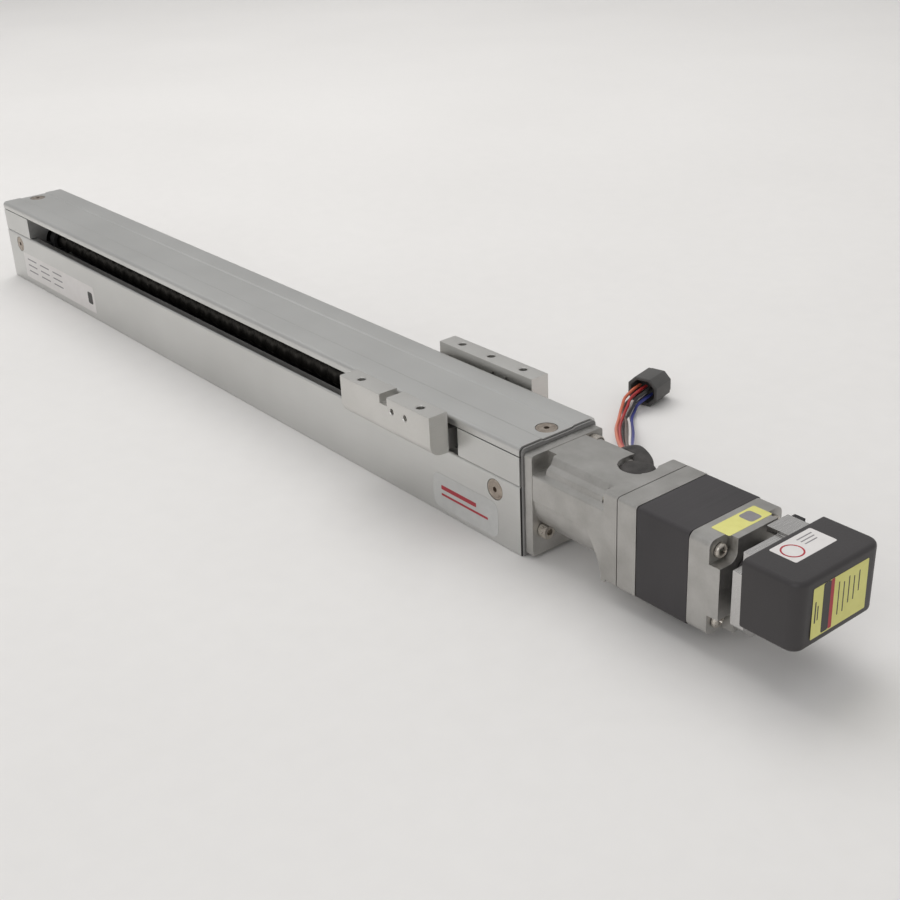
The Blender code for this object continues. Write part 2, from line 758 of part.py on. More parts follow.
def make_encoder_bracket(body, finish):
    """A plate with an ear on each side, and a shelf along the rear half of its top edge."""
    top = 0.0496
    neck = 0.0155
    ear = MOTOR_SIZE / 2
    half = [(neck, top), (neck, 0.0440), (ear, 0.0440), (ear, 0.0205), (neck, 0.0150)]
    made = node("encoder_bracket", prism(bmesh.new(), mirrored(half), PLATE_X, PLATE_END), finish, body)
    shelf_low = (PLATE_X - 0.0052, 0.0040, top - 0.0012)
    shelf_high = (PLATE_END, neck + 0.0010, AXIS_Z + MOTOR_SIZE / 2)
    boolean(made, block(bmesh.new(), shelf_low, shelf_high), "UNION")
    cuts = rod(bmesh.new(), (PLATE_X - 0.0010, 0, AXIS_Z), 0.0100, 0.0100, "X", 24)
    boolean(made, cuts, "DIFFERENCE")


def make_encoder_board(body, finish):
    front = CAP_X + 0.0014
    low = (front, -0.0180, 0.0262)
    high = (front + 0.0016, 0.0180, 0.0490)
    node("encoder_board", block(bmesh.new(), low, high), finish, body)


def encoder_cover_outline(inset):
    """The cap's plan outline in (y, z): a rounded rectangle hung above the motor's axis."""
    low = 0.0230 + inset
    high = 0.0525 - inset
    half = 0.0241 - inset
    corner = max(0.0030 - inset, 0.0008)
    points = arc((half - corner, high - corner), corner, 90, 0, 4)
    points += arc((half - corner, low + corner), corner, 0, -90, 4)
    return mirrored(points)


def encoder_cover_rings(stages):
    rings = []
    for x, inset in stages:
        rings.append([(x, y, z) for y, z in encoder_cover_outline(inset)])
    return rings


def make_encoder_cover(body, finish):
    outside = [
        (CAP_X, 0.0),
        (DRIVE_END_X - 0.0035, 0.0004),
        (DRIVE_END_X - 0.0011, 0.0014),
        (DRIVE_END_X, 0.0036),
    ]
    made = node("encoder_cover", loft(bmesh.new(), encoder_cover_rings(outside)), finish, body, 50)
    inside = [(CAP_X - 0.0010, 0.0022), (DRIVE_END_X - 0.0030, 0.0030)]
    boolean(made, loft(bmesh.new(), encoder_cover_rings(inside)), "DIFFERENCE")


# Carriage, which slides along the body

def guide_outline(outer, top, clearance):
    """The guide block's saddle, hooked into the rail's side grooves."""
    groove = (RAIL_BASE + RAIL_TOP) / 2 + 0.0008
    inner = RAIL_HALF + clearance
    half = [
        (outer - 0.0006, top),
        (outer, top - 0.0006),
        (outer, RAIL_BASE + 0.0022),
        (inner, RAIL_BASE + 0.0022),
        (inner, groove - 0.0009),
        (inner - 0.0009, groove),
        (inner, groove + 0.0009),
        (inner, RAIL_TOP + clearance),
    ]
    return mirrored(half)


def make_carriage_block(body, finish):
    h = CARRIAGE_HALF
    outline = mirrored([(h, CARRIAGE_TOP), (h, CARRIAGE_BASE)])
    bm = prism(bmesh.new(), outline, CARRIAGE_X0, CARRIAGE_X1)
    made = node("carriage_block", bm, finish, body)
    cuts = rod(bmesh.new(), (CARRIAGE_X0 - 0.0010, 0, AXIS_Z), TABLE_LENGTH, NUT_R + GAP, "X", 20)
    boolean(made, cuts, "DIFFERENCE")
    cuts = bmesh.new()
    for x in ARM_SCREW_X:
        for side in (-1, 1):
            rod(cuts, (x, side * ARM_SCREW_Y, 0.0330), 0.0100, M4_R * TAP_SHARE + GAP, "Z", 8)
    for x in GUIDE_SCREW_X:
        for side in (-1, 1):
            seat = [
                (CARRIAGE_BASE - 0.0010, M3_R + GAP),
                (0.0345, M3_R + GAP),
                (0.0345, M3_HEAD_R + GAP),
                (CARRIAGE_TOP + 0.0010, M3_HEAD_R + GAP),
            ]
            turned(cuts, seat, (x, side * GUIDE_SCREW_Y, 0), "Z", 8)
    for y, z in nut_bolts():
        rod(cuts, (CARRIAGE_X0 - 0.0010, y, z), 0.0070, M3_R + GAP, "X", 8)
    boolean(made, cuts, "DIFFERENCE")


def nut_bolts():
    reach = 0.0122 / math.sqrt(2)
    return [(y * reach, AXIS_Z + z * reach) for y in (-1, 1) for z in (-1, 1)]


def make_guide_block(body, steel, seal):
    bm = prism(bmesh.new(), guide_outline(0.0145, GUIDE_TOP, GAP), GUIDE_X0, GUIDE_X1)
    made = node("guide_block", bm, steel, body)
    cuts = bmesh.new()
    for x in GUIDE_SCREW_X:
        for side in (-1, 1):
            rod(cuts, (x, side * GUIDE_SCREW_Y, 0.0105), 0.0080, M3_R + GAP, "Z", 8)
    boolean(made, cuts, "DIFFERENCE")
    outline = guide_outline(0.0140, GUIDE_TOP - 0.0010, GAP)
    bm = prism(bmesh.new(), outline, GUIDE_X0 - 0.0028, GUIDE_X0 - GAP)
    node("guide_block_seal_far_end", bm, seal, body)
    bm = prism(bmesh.new(), outline, GUIDE_X1 + GAP, GUIDE_X1 + 0.0028)
    node("guide_block_seal_motor_end", bm, seal, body)


def make_ball_nut(body, finish):
    flange_x0 = NUT_FLANGE_X - NUT_FLANGE_LENGTH
    profile = [
        (0, 0.0148),
        (NUT_FLANGE_LENGTH, 0.0148),
        (NUT_FLANGE_LENGTH, NUT_R),
        (0.0400, NUT_R),
        (0.0400, SCREW_R + GAP),
        (0, SCREW_R + GAP),
    ]
    bm = turned(bmesh.new(), profile, (flange_x0, 0, AXIS_Z), "X", 20, hollow=True)
    made = node("ball_nut", bm, finish, body)
    cuts = bmesh.new()
    for y, z in nut_bolts():
        rod(cuts, (flange_x0 - 0.0010, y, z), 0.0060, M3_R + GAP, "X", 8)
    block(cuts, (flange_x0 - 0.0010, -0.0200, 0.0100), (flange_x0 + 0.0050, 0.0200, 0.0168))
    boolean(made, cuts, "DIFFERENCE")


def make_table_block(name, side, body, finish):
    """One outer table block with its arm, which reaches through the slot onto the carriage."""
    skirt_z = 0.0429
    half = [
        (TABLE_INNER_Y, TABLE_TOP),
        (TABLE_OUTER_Y, TABLE_TOP),
        (TABLE_OUTER_Y, skirt_z),
    ]
    half += arc((0.0295, skirt_z), 0.0062, -20, -75, 4)
    half.append((TABLE_INNER_Y, ARM_BOTTOM - 0.0004))
    outline = [(side * y, z) for y, z in half]
    made = node(name, prism(bmesh.new(), outline, TABLE_X0, TABLE_X1), finish, body)
    arm = bmesh.new()
    tongue_y = CARRIAGE_HALF + GAP
    root_y = TABLE_INNER_Y + 0.0010
    arm_outline = [
        (0.0075, CARRIAGE_TOP + GAP),
        (tongue_y, CARRIAGE_TOP + GAP),
        (tongue_y, ARM_BOTTOM),
        (root_y, ARM_BOTTOM),
        (root_y, ARM_TOP),
        (0.0075, ARM_TOP),
    ]
    prism(arm, [(side * y, z) for y, z in arm_outline], TABLE_X0 + 0.0058, TABLE_X1 - 0.0020)
    boolean(made, arm, "UNION")
    cuts = bmesh.new()
    for x in ARM_SCREW_X:
        rod(cuts, (x, side * ARM_SCREW_Y, 0.0400), 0.0080, M4_R * TAP_SHARE + GAP, "Z", 8)
    stations = [TABLE_X0 + 0.0110, TABLE_X1 - 0.0120]
    if side > 0:
        stations.append(TABLE_MID_X - 0.0012)
    for x in stations:
        profile = [(TABLE_TOP - 0.0110, 0.0021), (TABLE_TOP - 0.0004, 0.0021), (TABLE_TOP + 0.0004, 0.0028)]
        turned(cuts, profile, (x, side * TABLE_HOLE_Y, 0), "Z", 12)
    for x in (TABLE_X0 + 0.0401, TABLE_X0 + 0.0499):
        profile = [(side * 0.0330, 0.0014), (side * 0.0370, 0.0014)]
        if side > 0:
            profile = [(0.0240, 0.0014), (0.0290, 0.0014)]
        turned(cuts, profile, (x, 0, 0.0506), "Y", 8)
    boolean(made, cuts, "DIFFERENCE")
    if side < 0:
        notch = bmesh.new()
        low = (TABLE_X0 + 0.0312, -0.0400, TABLE_TOP - 0.0042)
        block(notch, low, (TABLE_X0 + 0.0368, -0.0200, 0.0600))
        boolean(made, notch, "DIFFERENCE")


# Rotating parts, on the drive axis

def make_ball_screw(body, finish):
    shoulder = FIXED_BEARING_X - GAP
    profile = [
        (SCREW_START, STUB_R),
        (SUPPORT_BEARING_END + GAP, STUB_R),
        (SUPPORT_BEARING_END + GAP, SCREW_R),
        (shoulder, SCREW_R),
        (shoulder, JOURNAL_R),
        (END_X - 0.0045, JOURNAL_R),
        (END_X - 0.0045, STUB_R),
        (STUB_END, STUB_R),
    ]
    bm = turned(bmesh.new(), profile, (0, 0, AXIS_Z), "X", 20)
    node("ball_screw", bm, finish, body)


def make_inner_rings(body, finish):
    bm = ring(bmesh.new(), FIXED_BEARING_X, FIXED_BEARING_END, 0.0078, JOURNAL_R + GAP)
    node("fixed_bearing_inner", bm, finish, body)
    bm = ring(bmesh.new(), SUPPORT_BEARING_X, SUPPORT_BEARING_END, 0.0062, STUB_R + GAP)
    node("support_bearing_inner", bm, finish, body)


def make_lock_nut(body, finish):
    x0 = FIXED_BEARING_END + 0.0006
    profile = [(0, 0.0086), (0.0052, 0.0086), (0.0052, JOURNAL_R + GAP), (0, JOURNAL_R + GAP)]
    node("lock_nut", turned(bmesh.new(), profile, (x0, 0, AXIS_Z), "X", 12, hollow=True), finish, body)


def make_coupling_hub(name, x0, x1, bore, turn, finish, body):
    """A clamping hub with two jaws on the side that faces the other hub."""
    made = node(name, ring(bmesh.new(), x0, x1, COUPLING_R, bore, 20), finish, body)
    inward = 1 if x0 < HUB_SPLIT else -1
    root_x = x1 if inward > 0 else x0
    ends = sorted((root_x - inward * 0.0010, root_x + inward * (2 * JAW_LENGTH - 0.0006)))
    jaws = bmesh.new()
    for middle in (turn, turn + 180):
        outer = arc((0, AXIS_Z), COUPLING_R, middle - 26, middle + 26, 3)
        inner = arc((0, AXIS_Z), 0.0058, middle + 26, middle - 26, 3)
        prism(jaws, outer + inner, ends[0], ends[1])
    boolean(made, jaws, "UNION")
    clamp_x = x0 + 0.0040 if inward > 0 else x1 - 0.0040
    hole = rod(bmesh.new(), (clamp_x, 0.0085, AXIS_Z - 0.0120), 0.0240, M3_R + GAP, "Z", 8)
    boolean(made, hole, "DIFFERENCE")


def make_coupling_spider(finish, body):
    x0 = HUB_SPLIT - JAW_LENGTH + GAP
    x1 = HUB_SPLIT + JAW_LENGTH - GAP
    made = node("coupling_spider", ring(bmesh.new(), x0, x1, 0.0052, 0.0022, 16), finish, body)
    legs = bmesh.new()
    for i in range(4):
        middle = 45 + 90 * i
        outer = arc((0, AXIS_Z), COUPLING_R - 0.0004, middle - 17, middle + 17, 2)
        inner = arc((0, AXIS_Z), 0.0030, middle + 17, middle - 17, 2)
        prism(legs, outer + inner, x0 + 0.0004, x1 - 0.0004)
    boolean(made, legs, "UNION")


def make_coupling(body, hub_finish, spider_finish):
    screw_hub = (END_X + 0.0085, HUB_SPLIT - JAW_LENGTH, STUB_R + GAP, 0)
    motor_hub = (HUB_SPLIT + JAW_LENGTH, END_X + 0.0475, SHAFT_R + GAP, 90)
    make_coupling_hub("screw_coupling_hub", *screw_hub, hub_finish, body)
    make_coupling_hub("motor_coupling_hub", *motor_hub, hub_finish, body)
    make_coupling_spider(spider_finish, body)


def make_motor_rotor(body, shaft_finish, rotor_finish, magnet_finish):
    shaft_end = MAGNET_X - GAP
    bm = rod(bmesh.new(), (SHAFT_START, 0, AXIS_Z), shaft_end - SHAFT_START, SHAFT_R, "X", 20)
    node("motor_shaft", bm, shaft_finish, body)
    middle = (STATOR_X + BRACKET_X) / 2
    bm = bmesh.new()
    profile = [
        (-0.0110, ROTOR_R),
        (-0.0008, ROTOR_R),
        (-0.0008, ROTOR_R - 0.0010),
        (0.0008, ROTOR_R - 0.0010),
        (0.0008, ROTOR_R),
        (0.0110, ROTOR_R),
        (0.0110, SHAFT_R + GAP),
        (-0.0110, SHAFT_R + GAP),
    ]
    turned(bm, profile, (middle, 0, AXIS_Z), "X", 20, hollow=True)
    node("rotor", bm, rotor_finish, body)
    bm = rod(bmesh.new(), (MAGNET_X, 0, AXIS_Z), 0.0030, 0.0040, "X", 20)
    node("encoder_magnet", bm, magnet_finish, body)


# Motor lead

def route_points(route):
    return [Vector((END_X + x, y, z)) for x, y, z in route]


def smooth_line(route, step):
    """Points about one step apart on a Catmull-Rom curve through the route."""
    knots = route_points(route)
    knots = [2 * knots[0] - knots[1]] + knots + [2 * knots[-1] - knots[-2]]
    line = [knots[1]]
    for a, b, c, d in zip(knots, knots[1:], knots[2:], knots[3:]):
        count = max(1, round((c - b).length / step))
        for i in range(1, count + 1):
            t = i / count
            line.append(0.5 * (
                2 * b + (c - a) * t + (2 * a - 5 * b + 4 * c - d) * t * t
                + (3 * b - a - 3 * c + d) * t ** 3
            ))
    return line


def tube(name, line, radius, resolution, finish, body):
    curve = bpy.data.curves.new(name, "CURVE")
    curve.dimensions = "3D"
    curve.bevel_depth = radius
    curve.bevel_resolution = resolution
    curve.use_fill_caps = True
    spline = curve.splines.new("POLY")
    spline.points.add(len(line) - 1)
    for point, place in zip(spline.points, line):
        point.co = (*place, 1.0)
    curve.materials.append(finish)
    made = bpy.data.objects.new(name, curve)
    bpy.context.scene.collection.objects.link(made)
    made.parent = body
    return made


def along_end(line, gap, at_start):
    """Shorten a line by a gap at one end."""
    line = list(line)
    if at_start:
        line[0] = line[0] + (line[1] - line[0]).normalized() * gap
    else:
        line[-1] = line[-1] + (line[-2] - line[-1]).normalized() * gap
    return line


def make_lead(body, finishes):
    grommet = [
        (0.0446, 0.0064),
        (0.0446, CABLE_NOTCH_R - 0.0008),
        (0.0500, CABLE_NOTCH_R - 0.0008),
        (0.0508, CABLE_NOTCH_R - 0.0014),
        (0.0508, 0.0064),
    ]
    bm = turned(bmesh.new(), grommet, (*CABLE_NOTCH, 0), "Z", 16, hollow=True)
    made = node("lead_grommet", bm, finishes["rubber_black"], body)
    cuts = bmesh.new()
    low = (CABLE_NOTCH[0] - 0.0064, CABLE_NOTCH[1], 0.0360)
    block(cuts, low, (CABLE_NOTCH[0] + 0.0064, 0.0300, 0.0600))
    boolean(made, cuts, "DIFFERENCE")
    sleeve = smooth_line(SLEEVE_ROUTE, LEAD_STEP)
    tube("lead_sleeve", sleeve, SLEEVE_R, 2, finishes["rubber_black"], body)
    wires = along_end(smooth_line(WIRE_ROUTE, LEAD_STEP), GAP, True)
    wires = along_end(wires, GAP, False)
    tube("lead_wires", wires, WIRES_R, 2, finishes["wire_red"], body)
    make_connector(body, finishes["connector_grey"])


def make_connector(body, finish):
    """An eight-sided plug housing on the floor, its mouth towards the wires."""
    before, mouth = smooth_line(WIRE_ROUTE, LEAD_STEP)[-2:]
    along = Vector((mouth.x - before.x, mouth.y - before.y, 0)).normalized()
    across = Vector((-along.y, along.x, 0))
    half = [
        (PLUG_HALF_WIDTH - PLUG_CUT, PLUG_HEIGHT),
        (PLUG_HALF_WIDTH, PLUG_HEIGHT - PLUG_CUT),
        (PLUG_HALF_WIDTH, PLUG_CUT),
        (PLUG_HALF_WIDTH - PLUG_CUT, 0.0),
    ]
    rings = []
    for distance in (0.0, PLUG_LENGTH):
        middle = Vector((mouth.x, mouth.y, 0.0)) + along * distance
        rings.append([middle + across * w + Vector((0, 0, z)) for w, z in mirrored(half)])
    node("lead_connector", loft(bmesh.new(), rings), finish, body)


def make_finishes():
    return {
        "anodised": material("anodised", (0.50, 0.50, 0.48), 0.42, 0.9),
        "machined": material("machined", (0.52, 0.51, 0.47), 0.35, 0.9),
        "cast": material("cast", (0.42, 0.40, 0.38), 0.5, 0.8),
        "steel": material("steel", (0.55, 0.55, 0.56), 0.25, 1.0),
        "bracket_steel": material("bracket_steel", (0.40, 0.39, 0.39), 0.35, 0.9),
        "rubber_black": material("rubber_black", (0.03, 0.03, 0.03), 0.7, 0.0),
        "stack_black": material("stack_black", (0.06, 0.055, 0.06), 0.5, 0.0),
        "cover_black": material("cover_black", (0.05, 0.047, 0.05), 0.45, 0.0),
        "copper": material("copper", (0.75, 0.35, 0.18), 0.35, 1.0),
        "board_green": material("board_green", (0.03, 0.20, 0.08), 0.5, 0.0),
        "spider_red": material("spider_red", (0.55, 0.06, 0.05), 0.6, 0.0),
        "wire_red": material("wire_red", (0.60, 0.08, 0.06), 0.45, 0.0),
        "connector_grey": material("connector_grey", (0.10, 0.10, 0.10), 0.5, 0.0),
    }


def main():
    clear_scene()
    f = make_finishes()
    slide = axis_empty("slide_body", (0, 0, 0))
    table = axis_empty("carriage_origin", (TABLE_MID_X, 0, AXIS_Z))
    spin = axis_empty("drive_axis", (END_X, 0, AXIS_Z))

    make_base_extrusion(slide, f["anodised"])
    make_top_cover(slide, f["anodised"])
    make_motor_end_block(slide, f["anodised"])
    make_far_end_block(slide, f["anodised"])
    make_end_gasket(slide, f["rubber_black"])
    make_guide_rail(slide, f["steel"])
    make_stop_bumpers(slide, f["rubber_black"])
    make_outer_rings(slide, f["steel"])
    make_bearing_retainer(slide, f["steel"])
    make_cover_screws(slide, f["steel"])
    make_side_screws(slide, f["steel"])

    make_coupling_housing(slide, f["cast"])
    make_housing_screws(slide, f["steel"])
    make_motor_mount_screws(slide, f["steel"])
    make_motor_front_flange(slide, f["cast"])
    motor_bearing("motor_front_bearing", FLANGE_X + 0.0018, slide, f["steel"])
    make_stator(slide, f["stack_black"], f["copper"])
    make_rear_bracket(slide, f["cast"])
    motor_bearing("motor_rear_bearing", BRACKET_X + 0.0100, slide, f["steel"])
    make_motor_screws(slide, f["steel"])
    make_encoder_parts(slide, f)

    make_carriage_block(table, f["anodised"])
    make_guide_block(table, f["steel"], f["spider_red"])
    make_ball_nut(table, f["steel"])
    make_table_block("table_block_front", -1, table, f["machined"])
    make_table_block("table_block_rear", 1, table, f["machined"])

    make_ball_screw(spin, f["steel"])
    make_inner_rings(spin, f["steel"])
    make_lock_nut(spin, f["steel"])
    make_coupling(spin, f["machined"], f["spider_red"])
    make_motor_rotor(spin, f["steel"], f["stack_black"], f["steel"])

    make_lead(slide, f)


main()
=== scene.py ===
"""Looks of the electric ball-screw slide and its stepper motor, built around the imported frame.

Everything is in metres in the frame's own axes: +X towards the motor, +Y towards the lead, +Z up.
"""

import json
import math

import bmesh
import bpy
from mathutils import Matrix, Vector


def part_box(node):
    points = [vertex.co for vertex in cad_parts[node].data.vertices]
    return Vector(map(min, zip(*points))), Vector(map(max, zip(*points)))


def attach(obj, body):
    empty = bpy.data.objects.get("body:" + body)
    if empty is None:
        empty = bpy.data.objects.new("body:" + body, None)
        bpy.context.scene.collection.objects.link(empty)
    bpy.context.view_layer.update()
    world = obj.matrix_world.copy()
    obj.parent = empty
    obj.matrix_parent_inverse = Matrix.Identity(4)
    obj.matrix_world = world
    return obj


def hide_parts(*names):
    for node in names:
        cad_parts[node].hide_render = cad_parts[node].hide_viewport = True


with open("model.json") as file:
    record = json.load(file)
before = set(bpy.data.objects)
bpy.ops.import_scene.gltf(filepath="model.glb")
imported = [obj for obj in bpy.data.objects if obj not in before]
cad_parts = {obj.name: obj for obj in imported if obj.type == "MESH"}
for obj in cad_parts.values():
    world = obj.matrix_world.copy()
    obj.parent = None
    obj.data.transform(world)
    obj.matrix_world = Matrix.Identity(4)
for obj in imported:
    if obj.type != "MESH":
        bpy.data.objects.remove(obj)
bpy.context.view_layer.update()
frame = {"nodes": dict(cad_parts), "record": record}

# Places, read from the frame
BASE_LOW, BASE_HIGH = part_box("base_extrusion")
COVER_LOW, COVER_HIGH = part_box("top_cover")
HOUSING_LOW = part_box("coupling_housing")[0]
FLANGE_LOW, FLANGE_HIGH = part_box("motor_front_flange")
STACK_LOW, STACK_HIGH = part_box("stator_stack")
BRACKET_LOW, BRACKET_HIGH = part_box("rear_bracket")
CAP_LOW, CAP_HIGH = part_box("encoder_cover")
SHAFT_LOW, SHAFT_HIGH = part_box("motor_shaft")
TABLE_LOW, TABLE_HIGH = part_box("table_block_front")

END_X = BASE_HIGH.x
FAR_X = BASE_LOW.x
HALF_WIDTH = BASE_HIGH.y
SEAM_Z = BASE_HIGH.z
COVER_Z = COVER_LOW.z
TOP_Z = COVER_HIGH.z
AXIS_Z = (SHAFT_LOW.z + SHAFT_HIGH.z) / 2
MOTOR_HALF = STACK_HIGH.y
BOSS = 0.0020
FLANGE_X = FLANGE_LOW.x + BOSS

# Sizes shared by several pieces
WALL = 0.0050
FLOOR_TOP = 0.0045
CEILING = 0.0512
GAP = 0.0003
STRIP_HALF = 0.0095
STRIP_DROP = 0.0005
M5_HEAD = 0.00495
M5_SINK = 0.0025
SIDE_SCREW_Z = 0.0272
HOUSING_END = END_X + 0.0063
HOUSING_PLATE = END_X + 0.0490
BARREL_HALF = 0.0208
BOLT_Y = 0.0150
BOLT_Z = 0.0162
MOTOR_BOLT = 0.0155
STATOR_BORE = 0.0184
SCREW_SEAT = END_X + 0.1046
NOTCH = (END_X + 0.0420, 0.0060)
NOTCH_R = 0.0085
SCREW_LEAD = 0.0120
SCREW_CREST = 0.0060
JOURNAL_R = 0.0050
STUB_R = 0.0040
GROOVE_DEPTH = 0.0009

BODY = "slide_frame"
CARRIAGE = "carriage"
SCREW = "screw"


# Mesh helpers

def arc(centre, radius, start, end, steps):
    points = []
    for i in range(steps + 1):
        angle = math.radians(start + (end - start) * i / steps)
        points.append((centre[0] + radius * math.cos(angle), centre[1] + radius * math.sin(angle)))
    return points


def mirrored(half):
    """Close an outline from its right half, listed from the top down."""
    return half + [(-corner[0], *corner[1:]) for corner in reversed(half)]


def rounded(corners, steps=4):
    """An outline from (a, b, radius) corners, each rounded by its own radius."""
    outline = []
    for i, (a, b, radius) in enumerate(corners):
        here = Vector((a, b))
        if radius == 0:
            outline.append(here)
            continue
        back = (Vector(corners[i - 1][:2]) - here).normalized()
        on = (Vector(corners[(i + 1) % len(corners)][:2]) - here).normalized()
        half = back.angle(on) / 2
        centre = here + (back + on).normalized() * radius / math.sin(half)
        first = here + back * radius / math.tan(half) - centre
        last = here + on * radius / math.tan(half) - centre
        start = math.atan2(first.y, first.x)
        turn = (math.atan2(last.y, last.x) - start + math.pi) % (2 * math.pi) - math.pi
        for step in range(steps + 1):
            angle = start + turn * step / steps
            outline.append(centre + radius * Vector((math.cos(angle), math.sin(angle))))
    return outline


def loft(bm, rings, caps=True):
    rows = [[bm.verts.new(point) for point in ring] for ring in rings]
    count = len(rows[0])
    for near, far in zip(rows, rows[1:]):
        for i in range(count):
            j = (i + 1) % count
            bm.faces.new((near[i], near[j], far[j], far[i]))
    if caps:
        bm.faces.new(rows[0])
        bm.faces.new(rows[-1])
    return bm


def prism(bm, outline, x0, x1):
    """An outline of (y, z) points run along X."""
    return loft(bm, [[(x, y, z) for y, z in outline] for x in (x0, x1)])


def block(bm, low, high):
    outline = [(low[1], low[2]), (high[1], low[2]), (high[1], high[2]), (low[1], high[2])]
    return prism(bm, outline, low[0], high[0])


AXES = {
    "X": (Vector((1, 0, 0)), Vector((0, 1, 0)), Vector((0, 0, 1))),
    "Y": (Vector((0, 1, 0)), Vector((0, 0, 1)), Vector((1, 0, 0))),
    "Z": (Vector((0, 0, 1)), Vector((1, 0, 0)), Vector((0, 1, 0))),
}


def turned(bm, profile, origin, axis="X", sides=48, hollow=False, turn=0.0, knurl=0.0):
    """Turn (distance along the axis, radius) points; a knurl pulls every second side in."""
    along, across, up = AXES[axis]
    rows = []
    for distance, radius in profile:
        ring = []
        for i in range(sides):
            angle = 2 * math.pi * i / sides + turn
            reach = radius - (knurl if i % 2 else 0.0)
            arm = across * math.cos(angle) + up * math.sin(angle)
            ring.append(bm.verts.new(Vector(origin) + along * distance + arm * reach))
        rows.append(ring)
    pairs = list(zip(rows, rows[1:]))
    if hollow:
        pairs.append((rows[-1], rows[0]))
    for near, far in pairs:
        for i in range(sides):
            j = (i + 1) % sides
            bm.faces.new((near[i], near[j], far[j], far[i]))
    if not hollow:
        bm.faces.new(rows[0])
        bm.faces.new(rows[-1])
    return bm


def new_object(name, bm):
    bmesh.ops.recalc_face_normals(bm, faces=bm.faces)
    mesh = bpy.data.meshes.new(name)
    bm.to_mesh(mesh)
    bm.free()
    made = bpy.data.objects.new(name, mesh)
    bpy.context.scene.collection.objects.link(made)
    return made


def carve(target, bm, operation="DIFFERENCE"):
    """Cut a shape out of a piece, or join it on, and keep the result as its mesh."""
    helper = new_object("carving_shape", bm)
    modifier = target.modifiers.new("carve", "BOOLEAN")
    modifier.operation = operation
    modifier.solver = "EXACT"
    modifier.object = helper
    graph = bpy.context.evaluated_depsgraph_get()
    carved = bpy.data.meshes.new_from_object(target.evaluated_get(graph))
    target.modifiers.remove(modifier)
    target.data = carved
    bpy.data.objects.remove(helper)
    return target


def finished(made, finish, body, replaces=(), bevel=0.0, angle=30, segments=2):
    """Give a piece its finish, its smooth shading and softened edges, and its place in the frame."""
    made.data.materials.clear()
    for one in finish if isinstance(finish, (list, tuple)) else [finish]:
        made.data.materials.append(one)
    made.data.shade_smooth()
    made.data.set_sharp_from_angle(angle=math.radians(angle))
    if bevel:
        soften(made, bevel, angle, segments)
    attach(made, body)
    if replaces:
        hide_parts(*replaces)
    return made


def soften(made, width, angle=30, segments=2):
    modifier = made.modifiers.new("soft_edges", "BEVEL")
    modifier.width = width
    modifier.segments = segments
    modifier.limit_method = "ANGLE"
    modifier.angle_limit = math.radians(angle)
    modifier.harden_normals = True
    modifier.use_clamp_overlap = True


# Finishes

def tone(code):
    """A linear colour from its usual six-figure code."""
    parts = [(code >> shift & 255) / 255 for shift in (16, 8, 0)]
    return [c / 12.92 if c <= 0.04045 else ((c + 0.055) / 1.055) ** 2.4 for c in parts]


def grain_noise(tree, size, stretch=(1, 1, 1), detail=4.0):
    """Noise whose features are about one size across, drawn out along each axis by a stretch."""
    coords = tree.nodes.new("ShaderNodeTexCoord")
    mapping = tree.nodes.new("ShaderNodeMapping")
    mapping.inputs["Scale"].default_value = [1 / (size * s) for s in stretch]
    noise = tree.nodes.new("ShaderNodeTexNoise")
    noise.inputs["Scale"].default_value = 1.0
    noise.inputs["Detail"].default_value = detail
    tree.links.new(coords.outputs["Object"], mapping.inputs["Vector"])
    tree.links.new(mapping.outputs["Vector"], noise.inputs["Vector"])
    return noise.outputs["Fac"]


def spread(tree, value, low, high, start=0.3, end=0.7):
    ranged = tree.nodes.new("ShaderNodeMapRange")
    ranged.inputs["From Min"].default_value = start
    ranged.inputs["From Max"].default_value = end
    ranged.inputs["To Min"].default_value = low
    ranged.inputs["To Max"].default_value = high
    tree.links.new(value, ranged.inputs["Value"])
    return ranged.outputs["Result"]


def blended(tree, factor, first, second):
    mix = tree.nodes.new("ShaderNodeMix")
    mix.data_type = "RGBA"
    tree.links.new(factor, mix.inputs["Factor"])
    for socket, colour in (("A", first), ("B", second)):
        entry = [s for s in mix.inputs if s.name == socket and s.type == "RGBA"][0]
        if isinstance(colour, bpy.types.NodeSocket):
            tree.links.new(colour, entry)
        else:
            entry.default_value = (*colour, 1.0)
    return [s for s in mix.outputs if s.type == "RGBA"][0]


def added(tree, first, second, share):
    """first + share * second"""
    node = tree.nodes.new("ShaderNodeMath")
    node.operation = "MULTIPLY_ADD"
    tree.links.new(second, node.inputs[0])
    node.inputs[1].default_value = share
    tree.links.new(first, node.inputs[2])
    return node.outputs["Value"]


def finish(name, light, dark, rough, metallic=0.0, patch=0.030, grain=0.0020, stretch=(1, 1, 1),
           grit=0.0004, relief=0.00001, grit_share=0.5, **sockets):
    """A finish with broad patches of tone, a grain and a fine gritty surface."""
    made = bpy.data.materials.new(name)
    made.use_nodes = True
    tree = made.node_tree
    shader = tree.nodes["Principled BSDF"]
    shader.inputs["Metallic"].default_value = metallic
    for socket, value in sockets.items():
        shader.inputs[socket.replace("_", " ")].default_value = value
    broad = grain_noise(tree, patch, detail=2.0)
    fine = grain_noise(tree, grain, stretch, 5.0)
    specks = grain_noise(tree, grit, detail=3.0)
    mottled = added(tree, broad, fine, 0.6)
    factor = spread(tree, mottled, 0.0, 1.0, 0.55, 1.05)
    tree.links.new(blended(tree, factor, dark, light), shader.inputs["Base Color"])
    tree.links.new(spread(tree, fine, rough[0], rough[1]), shader.inputs["Roughness"])
    bump = tree.nodes.new("ShaderNodeBump")
    bump.inputs["Distance"].default_value = relief
    tree.links.new(added(tree, fine, specks, grit_share), bump.inputs["Height"])
    tree.links.new(bump.outputs["Normal"], shader.inputs["Normal"])
    return made


